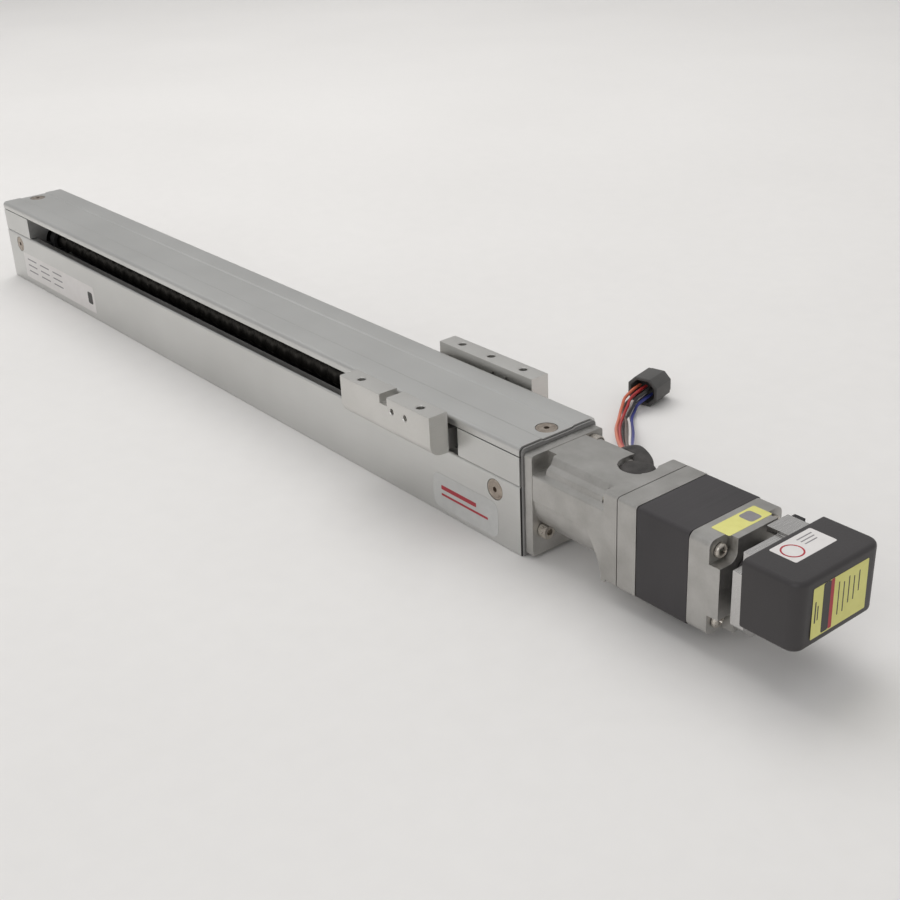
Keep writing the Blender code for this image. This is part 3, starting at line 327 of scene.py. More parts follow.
def make_finishes():
    along = (60, 1, 1)
    made = {}

    def add(name, *values, **settings):
        made[name] = finish(name, *values, **settings)

    add("anodised_aluminium", (0.66, 0.66, 0.645), (0.60, 0.60, 0.585), (0.34, 0.44), 1.0,
        grain=0.0005, stretch=along, relief=0.0000035, patch=0.05)
    add("machined_aluminium", (0.70, 0.69, 0.665), (0.62, 0.61, 0.585), (0.38, 0.50), 1.0,
        grain=0.0008, stretch=(1, 8, 1), relief=0.000004)
    add("cast_aluminium", (0.55, 0.54, 0.52), (0.42, 0.41, 0.39), (0.36, 0.56), 1.0,
        grain=0.0011, grit=0.0003, relief=0.000022, patch=0.012, grit_share=0.7)
    add("bearing_steel", (0.62, 0.61, 0.60), (0.52, 0.51, 0.50), (0.18, 0.30), 1.0,
        grain=0.0006, stretch=(1, 12, 12), relief=0.000002)
    add("plated_screw", (0.66, 0.62, 0.56), (0.42, 0.38, 0.34), (0.22, 0.42), 1.0,
        grain=0.0007, relief=0.000006, patch=0.004)
    add("braided_cloth", (0.070, 0.065, 0.062), (0.026, 0.024, 0.023), (0.62, 0.78),
        grain=0.0005, grit=0.0003, relief=0.00012, patch=0.006)
    add("black_rubber", (0.030, 0.029, 0.030), (0.018, 0.017, 0.018), (0.60, 0.75),
        grain=0.0010, relief=0.00002)
    add("black_lacquer", (0.052, 0.048, 0.050), (0.040, 0.037, 0.039), (0.48, 0.60),
        grain=0.0005, stretch=(1, 80, 80), relief=0.000012, Specular_IOR_Level=0.4)
    add("black_plastic", (0.042, 0.038, 0.039), (0.033, 0.030, 0.031), (0.40, 0.52),
        grain=0.0006, grit=0.0002, relief=0.000014)
    add("copper_wire", (0.72, 0.36, 0.18), (0.50, 0.22, 0.10), (0.28, 0.40), 1.0,
        grain=0.0004, stretch=(6, 1, 1), relief=0.00004)
    add("circuit_board", (0.030, 0.19, 0.080), (0.020, 0.13, 0.055), (0.30, 0.40),
        grain=0.0012, relief=0.00001)
    add("red_elastomer", (0.50, 0.045, 0.030), (0.38, 0.030, 0.022), (0.42, 0.55),
        grain=0.0010, relief=0.00001)
    add("wire_jacket", (0.58, 0.06, 0.05), (0.45, 0.04, 0.035), (0.35, 0.45),
        grain=0.0020, relief=0.000008)
    # Painted shade: a near-black finish for the faces inside the slots, where the shade falls.
    add("slot_shadow", (0.035, 0.032, 0.032), (0.022, 0.020, 0.020), (0.45, 0.60),
        grain=0.0008, stretch=along, relief=0.000004)
    add("brown_screw", (0.50, 0.44, 0.38), (0.30, 0.25, 0.21), (0.30, 0.48), 1.0,
        grain=0.0006, relief=0.000008, patch=0.003)
    # Yellowish plated screws, made light as a painted highlight for the glint on their heads.
    add("yellow_tint_and_glint_screw", (0.74, 0.68, 0.46), (0.56, 0.50, 0.32), (0.20, 0.34), 1.0,
        grain=0.0006, relief=0.000004, patch=0.003)
    # Painted shade: steel darkened to stand in for the shade on the ball screw inside the slide.
    add("shade_darkened_steel", (0.075, 0.070, 0.062), (0.050, 0.046, 0.040), (0.40, 0.55), 0.8, grain=0.0020)
    add("gasket_grey", (0.24, 0.235, 0.23), (0.18, 0.175, 0.17), (0.60, 0.75), grain=0.0020)
    add("connector_grey", (0.085, 0.083, 0.080), (0.060, 0.058, 0.056), (0.42, 0.55),
        grain=0.0008, relief=0.00001)
    add("label_yellow", tone(0xdfdb86), tone(0xd3cf74), (0.40, 0.52), grain=0.0030,
        relief=0.000004)
    add("label_white", tone(0xe2dfdd), tone(0xd6d2d0), (0.40, 0.52), grain=0.0030,
        relief=0.000004)
    add("label_grey", tone(0xc6c6c4), tone(0xb8b8b6), (0.36, 0.48), grain=0.0030,
        relief=0.000004)
    add("print_black", (0.050, 0.046, 0.044), (0.032, 0.030, 0.029), (0.45, 0.55), grain=0.0020,
        relief=0.000003)
    add("print_grey", tone(0x8d8a8c), tone(0x7b787a), (0.45, 0.55), grain=0.0020,
        relief=0.000003)
    add("print_red", tone(0xb4303c), tone(0x9c2834), (0.42, 0.52), grain=0.0020,
        relief=0.000003)
    return made


FINISH = make_finishes()


def wire_finish(name, light, dark):
    return finish(name, light, dark, (0.34, 0.46), grain=0.0020, relief=0.000010)


# Camera, floor and light

def make_camera():
    yaw, pitch, roll = 2.477912, 0.458454, -0.047323
    forward = Vector((math.cos(yaw) * math.cos(pitch), math.sin(yaw) * math.cos(pitch), -math.sin(pitch)))
    right = forward.cross(Vector((0, 0, 1))).normalized()
    up = right.cross(forward)
    across = math.cos(roll) * right + math.sin(roll) * up
    upright = math.cos(roll) * up - math.sin(roll) * right
    data = bpy.data.cameras.new("camera")
    data.lens = 55.24
    data.sensor_width = 36.0
    data.clip_start = 0.02
    camera = bpy.data.objects.new("camera", data)
    bpy.context.scene.collection.objects.link(camera)
    turn = Matrix((across, upright, -forward)).transposed().to_4x4()
    camera.matrix_world = Matrix.Translation((0.59134, -0.36819, 0.31263)) @ turn
    bpy.context.scene.camera = camera


def make_floor():
    half = 4.0
    bm = bmesh.new()
    corners = [(-half, -half), (half, -half), (half, half), (-half, half)]
    bm.faces.new([bm.verts.new((x, y, 0)) for x, y in corners])
    floor = new_object("floor", bm)
    floor.data.materials.append(finish(
        "floor_paper", (0.80, 0.785, 0.770), (0.765, 0.750, 0.735), (0.55, 0.70), patch=0.25,
        grain=0.012, relief=0.00008, grit_share=0.2))


def area_light(name, place, target, size, energy, colour, glossy=True):
    data = bpy.data.lights.new(name, "AREA")
    data.shape = "DISK"
    data.size = size
    data.energy = energy
    data.color = colour
    light = bpy.data.objects.new(name, data)
    light.location = place
    light.visible_glossy = glossy
    aim = Vector(target) - Vector(place)
    light.rotation_euler = aim.to_track_quat("-Z", "Y").to_euler()
    bpy.context.scene.collection.objects.link(light)


def make_lights():
    area_light("overhead", (-0.75, 0.35, 1.60), (0.05, 0, 0), 1.7, 15.5, (1.0, 0.99, 0.975), False)
    area_light("sheen", (-0.75, 0.35, 1.60), (0.05, 0, 0), 2.2, 6, (1.0, 0.99, 0.975))
    area_light("window", (0.9, -1.6, 1.2), (0.1, 0, 0.02), 1.3, 7, (0.97, 0.985, 1.0))
    world = bpy.data.worlds.new("studio")
    world.use_nodes = True
    tree = world.node_tree
    background = tree.nodes["Background"]
    coords = tree.nodes.new("ShaderNodeTexCoord")
    split = tree.nodes.new("ShaderNodeSeparateXYZ")
    tree.links.new(coords.outputs["Generated"], split.inputs["Vector"])
    height = spread(tree, split.outputs["Z"], 0.0, 1.0, -0.1, 0.9)
    shade = blended(tree, height, (0.78, 0.77, 0.76), (1.0, 1.0, 1.0))
    tree.links.new(shade, background.inputs["Color"])
    background.inputs["Strength"].default_value = 0.57
    bpy.context.scene.world = world
    bpy.context.scene.view_settings.view_transform = "Standard"


# The lead: its route follows the solids', with the sleeve laid a little lower

SLEEVE_ROUTE = [
    (0.0425, 0.0068, 0.0440),
    (0.0418, 0.0095, 0.0470),
    (0.0385, 0.0130, 0.0486),
    (0.0330, 0.0162, 0.0490),
    (0.0265, 0.0195, 0.0480),
    (0.0200, 0.0241, 0.0434),
    (0.0150, 0.0289, 0.0400),
    (0.0105, 0.0332, 0.0372),
]
WIRE_ROUTE = [
    (0.0105, 0.0332, 0.0372),
    (-0.0010, 0.0441, 0.0300),
    (-0.0151, 0.0576, 0.0232),
    (-0.0304, 0.0730, 0.0172),
    (-0.0454, 0.0885, 0.0108),
    (-0.0574, 0.1013, 0.0064),
    (-0.0656, 0.1106, 0.0042),
    (-0.0707, 0.1174, 0.0038),
    (-0.0730, 0.1218, 0.0056),
    (-0.0730, 0.1265, 0.0076),
    (-0.0741, 0.1312, 0.0078),
]
WIRE_R = 0.00085
LINE_STEP = 0.0020


def smooth_line(route, step):
    """Points about one step apart on a Catmull-Rom curve through the route."""
    knots = [Vector((END_X + x, y, z)) for x, y, z in route]
    knots = [2 * knots[0] - knots[1]] + knots + [2 * knots[-1] - knots[-2]]
    line = [knots[1]]
    for a, b, c, d in zip(knots, knots[1:], knots[2:], knots[3:]):
        count = max(1, round((c - b).length / step))
        for i in range(1, count + 1):
            t = i / count
            line.append(0.5 * (
                2 * b + (c - a) * t + (2 * a - 5 * b + 4 * c - d) * t * t
                + (3 * b - a - 3 * c + d) * t ** 3
            ))
    return line


def frames_along(line):
    """For each point: itself, the level direction across the line, and the direction above it."""
    made = []
    for i, point in enumerate(line):
        before = line[max(i - 1, 0)]
        after = line[min(i + 1, len(line) - 1)]
        tangent = (after - before).normalized()
        across = tangent.cross(Vector((0, 0, 1))).normalized()
        made.append((point, across, across.cross(tangent)))
    return made


def smoothstep(value):
    value = min(max(value, 0.0), 1.0)
    return value * value * (3 - 2 * value)


WIRES = [
    ("orange", (0.66, 0.17, 0.09), (0.52, 0.12, 0.06)),
    ("red", (0.46, 0.035, 0.035), (0.34, 0.022, 0.024)),
    ("black", (0.030, 0.027, 0.026), (0.018, 0.016, 0.016)),
    ("brown", (0.115, 0.085, 0.070), (0.080, 0.058, 0.048)),
    ("white", (0.78, 0.75, 0.73), (0.68, 0.65, 0.63)),
    ("blue", (0.045, 0.055, 0.26), (0.030, 0.036, 0.18)),
]


def wire_line(number, frames):
    """One wire's points: in a flat bundle through the sleeve, then loose, then into the plug's two rows."""
    last = len(frames) - 1
    column, row = 0.0036, 0.0020
    line = []
    for i, (point, across, above) in enumerate(frames):
        share = i / last
        order = number - (len(WIRES) - 1) / 2
        flat_across = order * 0.0008
        flat_above = 0.0001 * (1 if number % 2 else -1)
        plug_across = (number % 3 - 1) * column
        plug_above = row if number < 3 else -row
        swell = math.sin(math.pi * smoothstep((share - 0.25) / 0.75))
        into = smoothstep((share - 0.72) / 0.27)
        side = flat_across * (1 + 1.1 * swell) * (1 - into) + plug_across * into
        rise = flat_above * (1 - into) + plug_above * into + 0.0012 * swell * math.sin(2.1 * number + 1)
        spot = point + across * side + above * rise
        spot.z = max(spot.z, WIRE_R + 0.0002)
        line.append(spot)
    return line


def make_wires():
    """Six wires that leave the sleeve side by side and end inside the plug."""
    frames = frames_along(smooth_line(SLEEVE_ROUTE + WIRE_ROUTE[1:], LINE_STEP))
    point, across, above = frames[-1]
    onward = above.cross(across)
    frames += [(point + onward * step, across, above) for step in (0.0020, 0.0045)]
    for number, (name, light, dark) in enumerate(WIRES):
        line = wire_line(number, frames)
        curve = bpy.data.curves.new("wire_" + name, "CURVE")
        curve.dimensions = "3D"
        curve.bevel_depth = WIRE_R
        curve.bevel_resolution = 3
        curve.use_fill_caps = True
        spline = curve.splines.new("POLY")
        spline.points.add(len(line) - 1)
        for entry, place in zip(spline.points, line):
            entry.co = (*place, 1.0)
        spline.use_smooth = True
        curve.materials.append(wire_finish("wire_" + name, light, dark))
        wire = bpy.data.objects.new("wire_" + name, curve)
        bpy.context.scene.collection.objects.link(wire)
        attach(wire, BODY)
        if number == 0:
            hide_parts("lead_wires")


SLEEVE_STAGES = [
    (0.0, 0.0042, 0.0018), (0.16, 0.0042, 0.0017), (0.40, 0.0040, 0.0017), (1.0, 0.0038, 0.0017),
]


def sleeve_size(share):
    """The flat sleeve's half width and half thickness at a share of its length."""
    for (a, wide_a, tall_a), (b, wide_b, tall_b) in zip(SLEEVE_STAGES, SLEEVE_STAGES[1:]):
        if share <= b:
            t = smoothstep((share - a) / (b - a))
            return wide_a + (wide_b - wide_a) * t, tall_a + (tall_b - tall_a) * t
    return SLEEVE_STAGES[-1][1:]


def make_sleeve():
    """A flat braided sleeve, wide where it leaves the notch, open at the wires' end."""
    frames = frames_along(smooth_line(SLEEVE_ROUTE, 0.0012))
    last = len(frames) - 1
    sides = 40
    outer, inner = [], []
    for i, (point, across, above) in enumerate(frames):
        wide, tall = sleeve_size(i / last)
        for rings, trim in ((outer, 0.0), (inner, 0.0005)):
            ring = []
            for k in range(sides):
                angle = 2 * math.pi * k / sides
                ring.append(point + across * math.cos(angle) * (wide - trim)
                            + above * math.sin(angle) * (tall - trim))
            rings.append(ring)
    bm = loft(bmesh.new(), outer + inner[::-1] + outer[:1], caps=False)
    bmesh.ops.remove_doubles(bm, verts=bm.verts, dist=0.000001)
    return finished(new_object("sleeve_cloth", bm), FINISH["braided_cloth"], BODY,
                    ["lead_sleeve"], angle=50)


def make_notch_bushing():
    """The cloth-covered bushing that closes the cable notch round the sleeve."""
    centre = (*NOTCH, 0)
    profile = [(0.0430, 0.0076), (0.0486, 0.0076), (0.0494, 0.0070), (0.0497, 0.0050), (0.0500, 0.0020)]
    made = new_object("notch_bushing", turned(bmesh.new(), profile, centre, "Z", 56))
    return finished(made, FINISH["braided_cloth"], BODY, ["lead_grommet"], angle=50)


PLUG_LENGTH, PLUG_HALF, PLUG_HEIGHT, PLUG_CUT = 0.0175, 0.0088, 0.0158, 0.0043


def make_connector():
    """An eight-sided plug housing with a thick rim and an open mouth for the wires."""
    line = smooth_line(WIRE_ROUTE, 0.0060)
    before, mouth = line[-2], line[-1]
    along = Vector((mouth.x - before.x, mouth.y - before.y, 0)).normalized()
    across = Vector((-along.y, along.x, 0))
    base = Vector((mouth.x, mouth.y, 0.0))

    def section(distance, inset):
        wide, low, high, cut = PLUG_HALF - inset, inset, PLUG_HEIGHT - inset, PLUG_CUT - 0.4 * inset
        corners = rounded([
            (wide - cut, low, 0.0005), (wide, low + cut, 0.0005), (wide, high - cut, 0.0005),
            (wide - cut, high, 0.0005), (cut - wide, high, 0.0005), (-wide, high - cut, 0.0005),
            (-wide, low + cut, 0.0005), (cut - wide, low, 0.0005),
        ], 2)
        return [base + along * distance + across * w + Vector((0, 0, z)) for w, z in corners]

    outside = [(PLUG_LENGTH, 0.0016), (0.0169, 0.0009), (0.0150, 0.0007), (0.0146, 0.0), (0.0005, 0.0),
               (0.0, 0.0004)]
    inside = [(0.0, 0.0014), (0.0004, 0.0018), (0.0095, 0.0020)]
    bm = loft(bmesh.new(), [section(distance, inset) for distance, inset in outside + inside])
    made = finished(new_object("connector_shell", bm), FINISH["connector_grey"], BODY,
                    ["lead_connector"], angle=35)
    return made


# Slide body

# Painted shade: faces inside the slide get material slot 1, the dark slot_shadow finish, in place of the
# shade that falls there.
def paint_shade_inside(made, is_inside):
    for polygon in made.data.polygons:
        if is_inside(polygon.center, polygon.normal):
            polygon.material_index = 1


def countersink_shape(bm, centre, axis, face, sign, clearance):
    reach = 0.0002 if clearance else 0.0
    head = M5_HEAD + clearance
    profile = [
        (sign * (face + reach), head),
        (sign * (face - 0.0004), head),
        (sign * (face - M5_SINK - clearance), 0.0025 + clearance),
        (sign * (face - 0.0080), 0.0025 + clearance),
    ]
    return turned(bm, profile, centre, axis)


SIDE_SCREWS = [("motor_end", END_X - 0.0166), ("far_end", FAR_X + 0.0184)]
TOP_SCREWS = [("motor_end", END_X - 0.0070), ("far_end", FAR_X + 0.0074)]
STRIP_Z = TOP_Z - STRIP_DROP


def make_base():
    edge = 0.0012
    outline = rounded(mirrored([
        (HALF_WIDTH - WALL, FLOOR_TOP, 0.0010),
        (HALF_WIDTH - WALL, SEAM_Z, 0.0004),
        (HALF_WIDTH, SEAM_Z, edge),
        (HALF_WIDTH, 0.0, 0.0009),
    ]))
    made = new_object("base_profile", prism(bmesh.new(), outline, FAR_X, END_X))
    cuts = bmesh.new()
    for _, x in SIDE_SCREWS:
        for sign in (-1, 1):
            countersink_shape(cuts, (x, 0, SIDE_SCREW_Z), "Y", HALF_WIDTH, sign, 0.0002)
    for i in range(3):
        for y in (-0.0120, 0.0120):
            hole = [(-0.0010, 0.0026), (0.0002, 0.0026), (0.0007, 0.0021), (FLOOR_TOP + 0.0010, 0.0021)]
            turned(cuts, hole, (FAR_X + 0.0600 + 0.2000 * i, y, 0), "Z", 24)
    carve(made, cuts)
    paint_shade_inside(made, lambda c, n: abs(c.y) < HALF_WIDTH - WALL + 0.0001 and c.z > FLOOR_TOP - 0.0001)
    kept = [p.material_index for p in made.data.polygons]
    finished(made, [FINISH["anodised_aluminium"], FINISH["slot_shadow"]], BODY,
             ["base_extrusion"])
    made.data.polygons.foreach_set("material_index", kept)
    return made


def make_cover():
    half = [
        (STRIP_HALF - 0.0007, STRIP_Z, 0.0002),
        (STRIP_HALF + 0.0003, TOP_Z, 0.0002),
        (HALF_WIDTH, TOP_Z, 0.0024),
        (HALF_WIDTH, COVER_Z, 0.0004),
        (HALF_WIDTH - 0.0020, COVER_Z, 0.0004),
        (HALF_WIDTH - 0.0020, CEILING, 0.0004),
    ]
    made = new_object("cover_profile", prism(bmesh.new(), rounded(mirrored(half), 6), FAR_X, END_X))
    cuts = bmesh.new()
    for _, x in TOP_SCREWS:
        countersink_shape(cuts, (x, 0, 0), "Z", STRIP_Z, 1, 0.0002)
    carve(made, cuts)
    paint_shade_inside(made, lambda c, n: abs(c.y) < HALF_WIDTH - 0.0019 and c.z < CEILING + 0.0001)
    kept = [p.material_index for p in made.data.polygons]
    finished(made, [FINISH["anodised_aluminium"], FINISH["slot_shadow"]], BODY,
             ["top_cover"])
    made.data.polygons.foreach_set("material_index", kept)
    return made


def make_flush_screw(name, centre, axis, face, sign, node):
    """A countersunk head, flush with its face, with a turned ring and a hexagonal socket."""
    profile = [
        (sign * (face - 0.00035), M5_HEAD),
        (sign * (face - 0.00010), M5_HEAD - 0.0001),
        (sign * (face - 0.00002), M5_HEAD - 0.0004),
        (sign * (face - 0.00002), M5_HEAD - 0.0010),
        (sign * (face - 0.00012), M5_HEAD - 0.0011),
        (sign * (face - 0.00012), M5_HEAD - 0.0014),
        (sign * (face - 0.00002), M5_HEAD - 0.0015),
    ]
    bm = turned(bmesh.new(), [(sign * (face - 0.0080), 0.0024), (sign * (face - M5_SINK), 0.0024)] + profile,
                centre, axis)
    made = new_object(name, bm)
    socket = turned(bmesh.new(), [(sign * (face - 0.0020), 0.0014), (sign * (face + 0.001), 0.0014)],
                    centre, axis, 6)
    carve(made, socket)
    return finished(made, FINISH["brown_screw"], BODY, [node], angle=25)


def make_flush_screws():
    for label, x in TOP_SCREWS:
        node = "cover_screw_" + label
        make_flush_screw("cover_screw_head_" + label, (x, 0, 0), "Z", STRIP_Z, 1, node)
    for label, x in SIDE_SCREWS:
        for place, sign in (("front", -1), ("rear", 1)):
            node = f"side_screw_{label}_{place}"
            make_flush_screw(f"side_screw_head_{label}_{place}", (x, 0, SIDE_SCREW_Z), "Y", HALF_WIDTH,
                             sign, node)


# Table blocks and their arms

TABLE_MID = (TABLE_LOW.x + TABLE_HIGH.x) / 2
TABLE_TOP = TABLE_HIGH.z
TABLE_OUTER = -TABLE_LOW.y
TABLE_INNER = 0.0253
ARM_SCREW_Y = 0.0125
ARM_SCREW_X = (TABLE_MID - 0.0220, TABLE_MID + 0.0220)


def threaded_hole(bm, x, y, top, depth, radius, sign=1):
    profile = [(sign * (top - depth), radius), (sign * (top - 0.0005), radius),
               (sign * (top + 0.0004), radius + 0.0009)]
    return turned(bm, profile, (x, y, 0), "Z", 32)


def make_table_block(name, side, node):
    skirt = 0.0429
    half = [
        (TABLE_INNER, TABLE_TOP, 0.0004),
        (TABLE_OUTER, TABLE_TOP, 0.0005),
        (TABLE_OUTER, skirt - 0.0005, 0.0),
    ]
    half += [(y, z, 0.0) for y, z in arc((0.0295, skirt), 0.0062, -12, -75, 8)]
    half += [(TABLE_INNER, 0.0364, 0.0004)]
    outline = [(side * y, z) for y, z in rounded(half)]
    made = new_object(name, prism(bmesh.new(), outline, TABLE_LOW.x, TABLE_HIGH.x))
    arm_z, arm_top = 0.0368, 0.0467
    tongue = 0.0155 + GAP
    arm = [(0.0075, 0.0413), (tongue, 0.0413), (tongue, arm_z), (TABLE_INNER + 0.0010, arm_z),
           (TABLE_INNER + 0.0010, arm_top), (0.0075, arm_top)]
    shape = prism(bmesh.new(), [(side * y, z) for y, z in arm], TABLE_LOW.x + 0.0058, TABLE_HIGH.x - 0.0020)
    carve(made, shape, "UNION")
    cuts = bmesh.new()
    for x in ARM_SCREW_X:
        seat = [(0.0400, 0.0021), (arm_top - 0.0022, 0.0021), (arm_top - 0.0022, 0.0036),
                (arm_top + 0.0010, 0.0036)]
        turned(cuts, seat, (x, side * ARM_SCREW_Y, 0), "Z", 32)
    stations = [TABLE_LOW.x + 0.0110, TABLE_HIGH.x - 0.0120]
    if side > 0:
        stations.append(TABLE_MID - 0.0012)
    for x in stations:
        threaded_hole(cuts, x, side * 0.0309, TABLE_TOP, 0.0110, 0.0020)
    carve(made, cuts)
    cuts = bmesh.new()
    for x in (TABLE_LOW.x + 0.0401, TABLE_LOW.x + 0.0499):
        start, end = (0.0330, 0.0370) if side < 0 else (0.0290, 0.0240)
        mouth = 0.0353 if side < 0 else 0.0257
        profile = [(side * start, 0.0014), (side * mouth, 0.0014), (side * end, 0.0030)]
        turned(cuts, profile, (x, 0, 0.0506), "Y", 24)
    carve(made, cuts)
    if side < 0:
        notch = block(bmesh.new(), (TABLE_LOW.x + 0.0312, -0.0400, TABLE_TOP - 0.0044),
                      (TABLE_LOW.x + 0.0368, -0.0200, 0.0600))
        carve(made, notch)
    return finished(made, FINISH["machined_aluminium"], CARRIAGE, [node],
                    bevel=0.0003)


def make_arm_screws():
    """Low cap screws that hold the arms down on the carriage."""
    top = 0.0467
    for number, (x, side) in enumerate([(x, side) for x in ARM_SCREW_X for side in (-1, 1)], 1):
        profile = [(0.0345, 0.0017), (top - 0.0020, 0.0017), (top - 0.0020, 0.0033),
                   (top + 0.0006, 0.0033), (top + 0.0009, 0.0030)]
        centre = (x, side * ARM_SCREW_Y, 0)
        made = new_object(f"arm_screw_{number}", turned(bmesh.new(), profile, centre, "Z", 32))
        socket = [(top - 0.0010, 0.0014), (top + 0.0030, 0.0014)]
        carve(made, turned(bmesh.new(), socket, centre, "Z", 6))
        finished(made, FINISH["plated_screw"], CARRIAGE, angle=30)


# Drive housing and motor

def housing_section(growth):
    """The barrel's outline: stepped channels above, and a round belly that grows into the plate."""
    top = rounded([
        (0.0100, 0.0508, 0.0), (0.0132, 0.0504, 0.0012), (0.0147, 0.0470, 0.0010),
        (0.0172, 0.0455, 0.0010), (0.0177, 0.0432, 0.0004), (BARREL_HALF, 0.0418, 0.0008),
        (BARREL_HALF, 0.0290, 0.0),
    ], 3)[:-1]
    half = [(p[0], p[1]) for p in top]
    ledge = BARREL_HALF - 0.0004
    radius = ledge + growth
    drop = math.sqrt(max(radius * radius - ledge * ledge, 0.0))
    half.append((BARREL_HALF, AXIS_Z - drop))
    start = math.degrees(math.atan2(drop, ledge))
    steps = 22
    for y, z in arc((0, 0), radius, -start - 1.2, -89, steps):
        half.append((min(y, ledge), AXIS_Z + max(z, -ledge)))
    return mirrored(half)


def make_housing():
    flare_start, flare_radius = END_X + 0.0385, 0.0092
    rings = [(HOUSING_END - 0.0010, 0.0), (END_X + 0.0200, 0.0), (flare_start, 0.0)]
    for i in range(1, 11):
        angle = math.radians(9 * i)
        rings.append((flare_start + flare_radius * math.sin(angle), flare_radius * (1 - math.cos(angle))))
    rings.append((HOUSING_PLATE + 0.0010, flare_radius))
    loop = [[(x, y, z) for y, z in housing_section(growth)] for x, growth in rings]
    bm = loft(bmesh.new(), loop)
    bmesh.ops.triangulate(bm, faces=bm.faces)
    made = new_object("housing_casting", bm)
    half = MOTOR_HALF
    plates = bmesh.new()
    flange = rounded([(half, AXIS_Z + half - 0.0001, 0.0014), (half, HOUSING_LOW.z, 0.0010),
                      (-half, HOUSING_LOW.z, 0.0010), (-half, AXIS_Z + half - 0.0001, 0.0014)])
    prism(plates, flange, HOUSING_LOW.x, HOUSING_END)
    square = rounded([(half, AXIS_Z + half, 0.0018), (half, AXIS_Z - half, 0.0018),
                      (-half, AXIS_Z - half, 0.0018), (-half, AXIS_Z + half, 0.0018)], 3)
    prism(plates, square, HOUSING_PLATE, FLANGE_X - GAP)
    carve(made, plates, "UNION")
    cuts = bmesh.new()
    bore = [(HOUSING_LOW.x - 0.0010, 0.0140), (HOUSING_PLATE, 0.0140), (HOUSING_PLATE, 0.0113),
            (FLANGE_X + 0.0010, 0.0113)]
    turned(cuts, bore, (0, 0, AXIS_Z))
    carve(made, cuts)
    cuts = bmesh.new()
    for sign in (-1, 1):
        seat = [(HOUSING_LOW.x - 0.0010, 0.0023), (HOUSING_END, 0.0023), (HOUSING_END, 0.0043),
                (HOUSING_END + 0.0085, 0.0043)]
        turned(cuts, seat, (0, sign * BOLT_Y, AXIS_Z + sign * BOLT_Z), "X", 32)
    for y in (-1, 1):
        for z in (-1, 1):
            seat = [(HOUSING_PLATE - 0.0040, 0.00335), (HOUSING_PLATE, 0.00335), (HOUSING_PLATE, 0.0018),
                    (FLANGE_X + 0.0010, 0.0018)]
            turned(cuts, seat, (0, y * MOTOR_BOLT, AXIS_Z + z * MOTOR_BOLT), "X", 28)
    carve(made, cuts)
    pocket = bmesh.new()
    block(pocket, (HOUSING_END, -0.0300, 0.0425), (HOUSING_END + 0.0052, -0.0112, 0.0600))
    carve(made, pocket)
    pocket = bmesh.new()
    block(pocket, (HOUSING_END, 0.0107, 0.0420), (HOUSING_END + 0.0070, 0.0300, 0.0600))
    carve(made, pocket)
    carve(made, turned(bmesh.new(), [(0.0340, NOTCH_R), (0.0600, NOTCH_R)], (*NOTCH, 0), "Z", 64))
    notch_low = (NOTCH[0] - 0.0084, NOTCH[1], 0.0345)
    carve(made, block(bmesh.new(), notch_low, (NOTCH[0] + 0.0067, 0.0300, 0.0600)))
    return finished(made, FINISH["cast_aluminium"], BODY, ["coupling_housing"], angle=28)


def cap_screw(name, x, y, z, sign, head, head_r, shank, shank_r, finish_name, node):
    """A socket cap screw along X: its head stands on x and points along sign."""
    profile = [(-sign * shank, shank_r), (0, shank_r)]
    bm = turned(bmesh.new(), profile, (x, y, z), "X", 24)
    rim = [(0, head_r), (sign * (head - 0.0003), head_r)]
    top = [(sign * head, head_r - 0.0004)]
    turned(bm, [(0, head_r - 0.0002)] + rim + top, (x, y, z), "X", 56, knurl=0.00012)
    made = new_object(name, bm)
    socket_r = head_r * 0.50
    socket = [(sign * head * 0.45, socket_r), (sign * (head + 0.0010), socket_r)]
    carve(made, turned(bmesh.new(), socket, (x, y, z), "X", 6))
    return finished(made, FINISH[finish_name], BODY, [node], angle=28)


def make_housing_screws():
    for label, sign in (("lower", -1), ("upper", 1)):
        cap_screw("housing_cap_screw_" + label, HOUSING_END + GAP, sign * BOLT_Y, AXIS_Z + sign * BOLT_Z,
                  1, 0.0040, 0.0035, 0.0160, 0.0020, "plated_screw", "housing_screw_" + label)
    number = 0
    for y in (-1, 1):
        for z in (-1, 1):
            number += 1
            # The mount screws' light yellowish finish is partly their plating and partly a painted
            # highlight.
            cap_screw(f"mount_cap_screw_{number}", HOUSING_PLATE - GAP, y * MOTOR_BOLT,
                      AXIS_Z + z * MOTOR_BOLT, -1, 0.0030, 0.00275, 0.0105, 0.0015, "yellow_tint_and_glint_screw",
                      f"motor_mount_screw_{number}")


def motor_square(corner, inset=0.0, steps=5):
    half = MOTOR_HALF - inset
    return rounded([(half, AXIS_Z + half, corner), (half, AXIS_Z - half, corner),
                    (-half, AXIS_Z - half, corner), (-half, AXIS_Z + half, corner)], steps)


def bolt_holes(bm, x0, x1, radius):
    for y in (-1, 1):
        for z in (-1, 1):
            turned(bm, [(x0, radius), (x1, radius)], (0, y * MOTOR_BOLT, AXIS_Z + z * MOTOR_BOLT), "X", 20)
    return bm


def make_motor_flange():
    made = new_object("flange_casting", prism(bmesh.new(), motor_square(0.0016), FLANGE_X, FLANGE_HIGH.x))
    boss = turned(bmesh.new(), [(FLANGE_LOW.x, 0.0110), (FLANGE_X + 0.0020, 0.0110)], (0, 0, AXIS_Z))
    carve(made, boss, "UNION")
    cuts = bmesh.new()
    bore = [(FLANGE_X - 0.0030, 0.0045), (FLANGE_X + 0.0015, 0.0045), (FLANGE_X + 0.0015, 0.0083),
            (FLANGE_X + 0.0068, 0.0083), (FLANGE_X + 0.0068, 0.0140), (FLANGE_HIGH.x + 0.0010, 0.0140)]
    turned(cuts, bore, (0, 0, AXIS_Z))
    carve(made, bolt_holes(cuts, FLANGE_X - 0.0010, FLANGE_HIGH.x + 0.0010, 0.0018))
    return finished(made, FINISH["cast_aluminium"], BODY, ["motor_front_flange"],
                    bevel=0.00025)


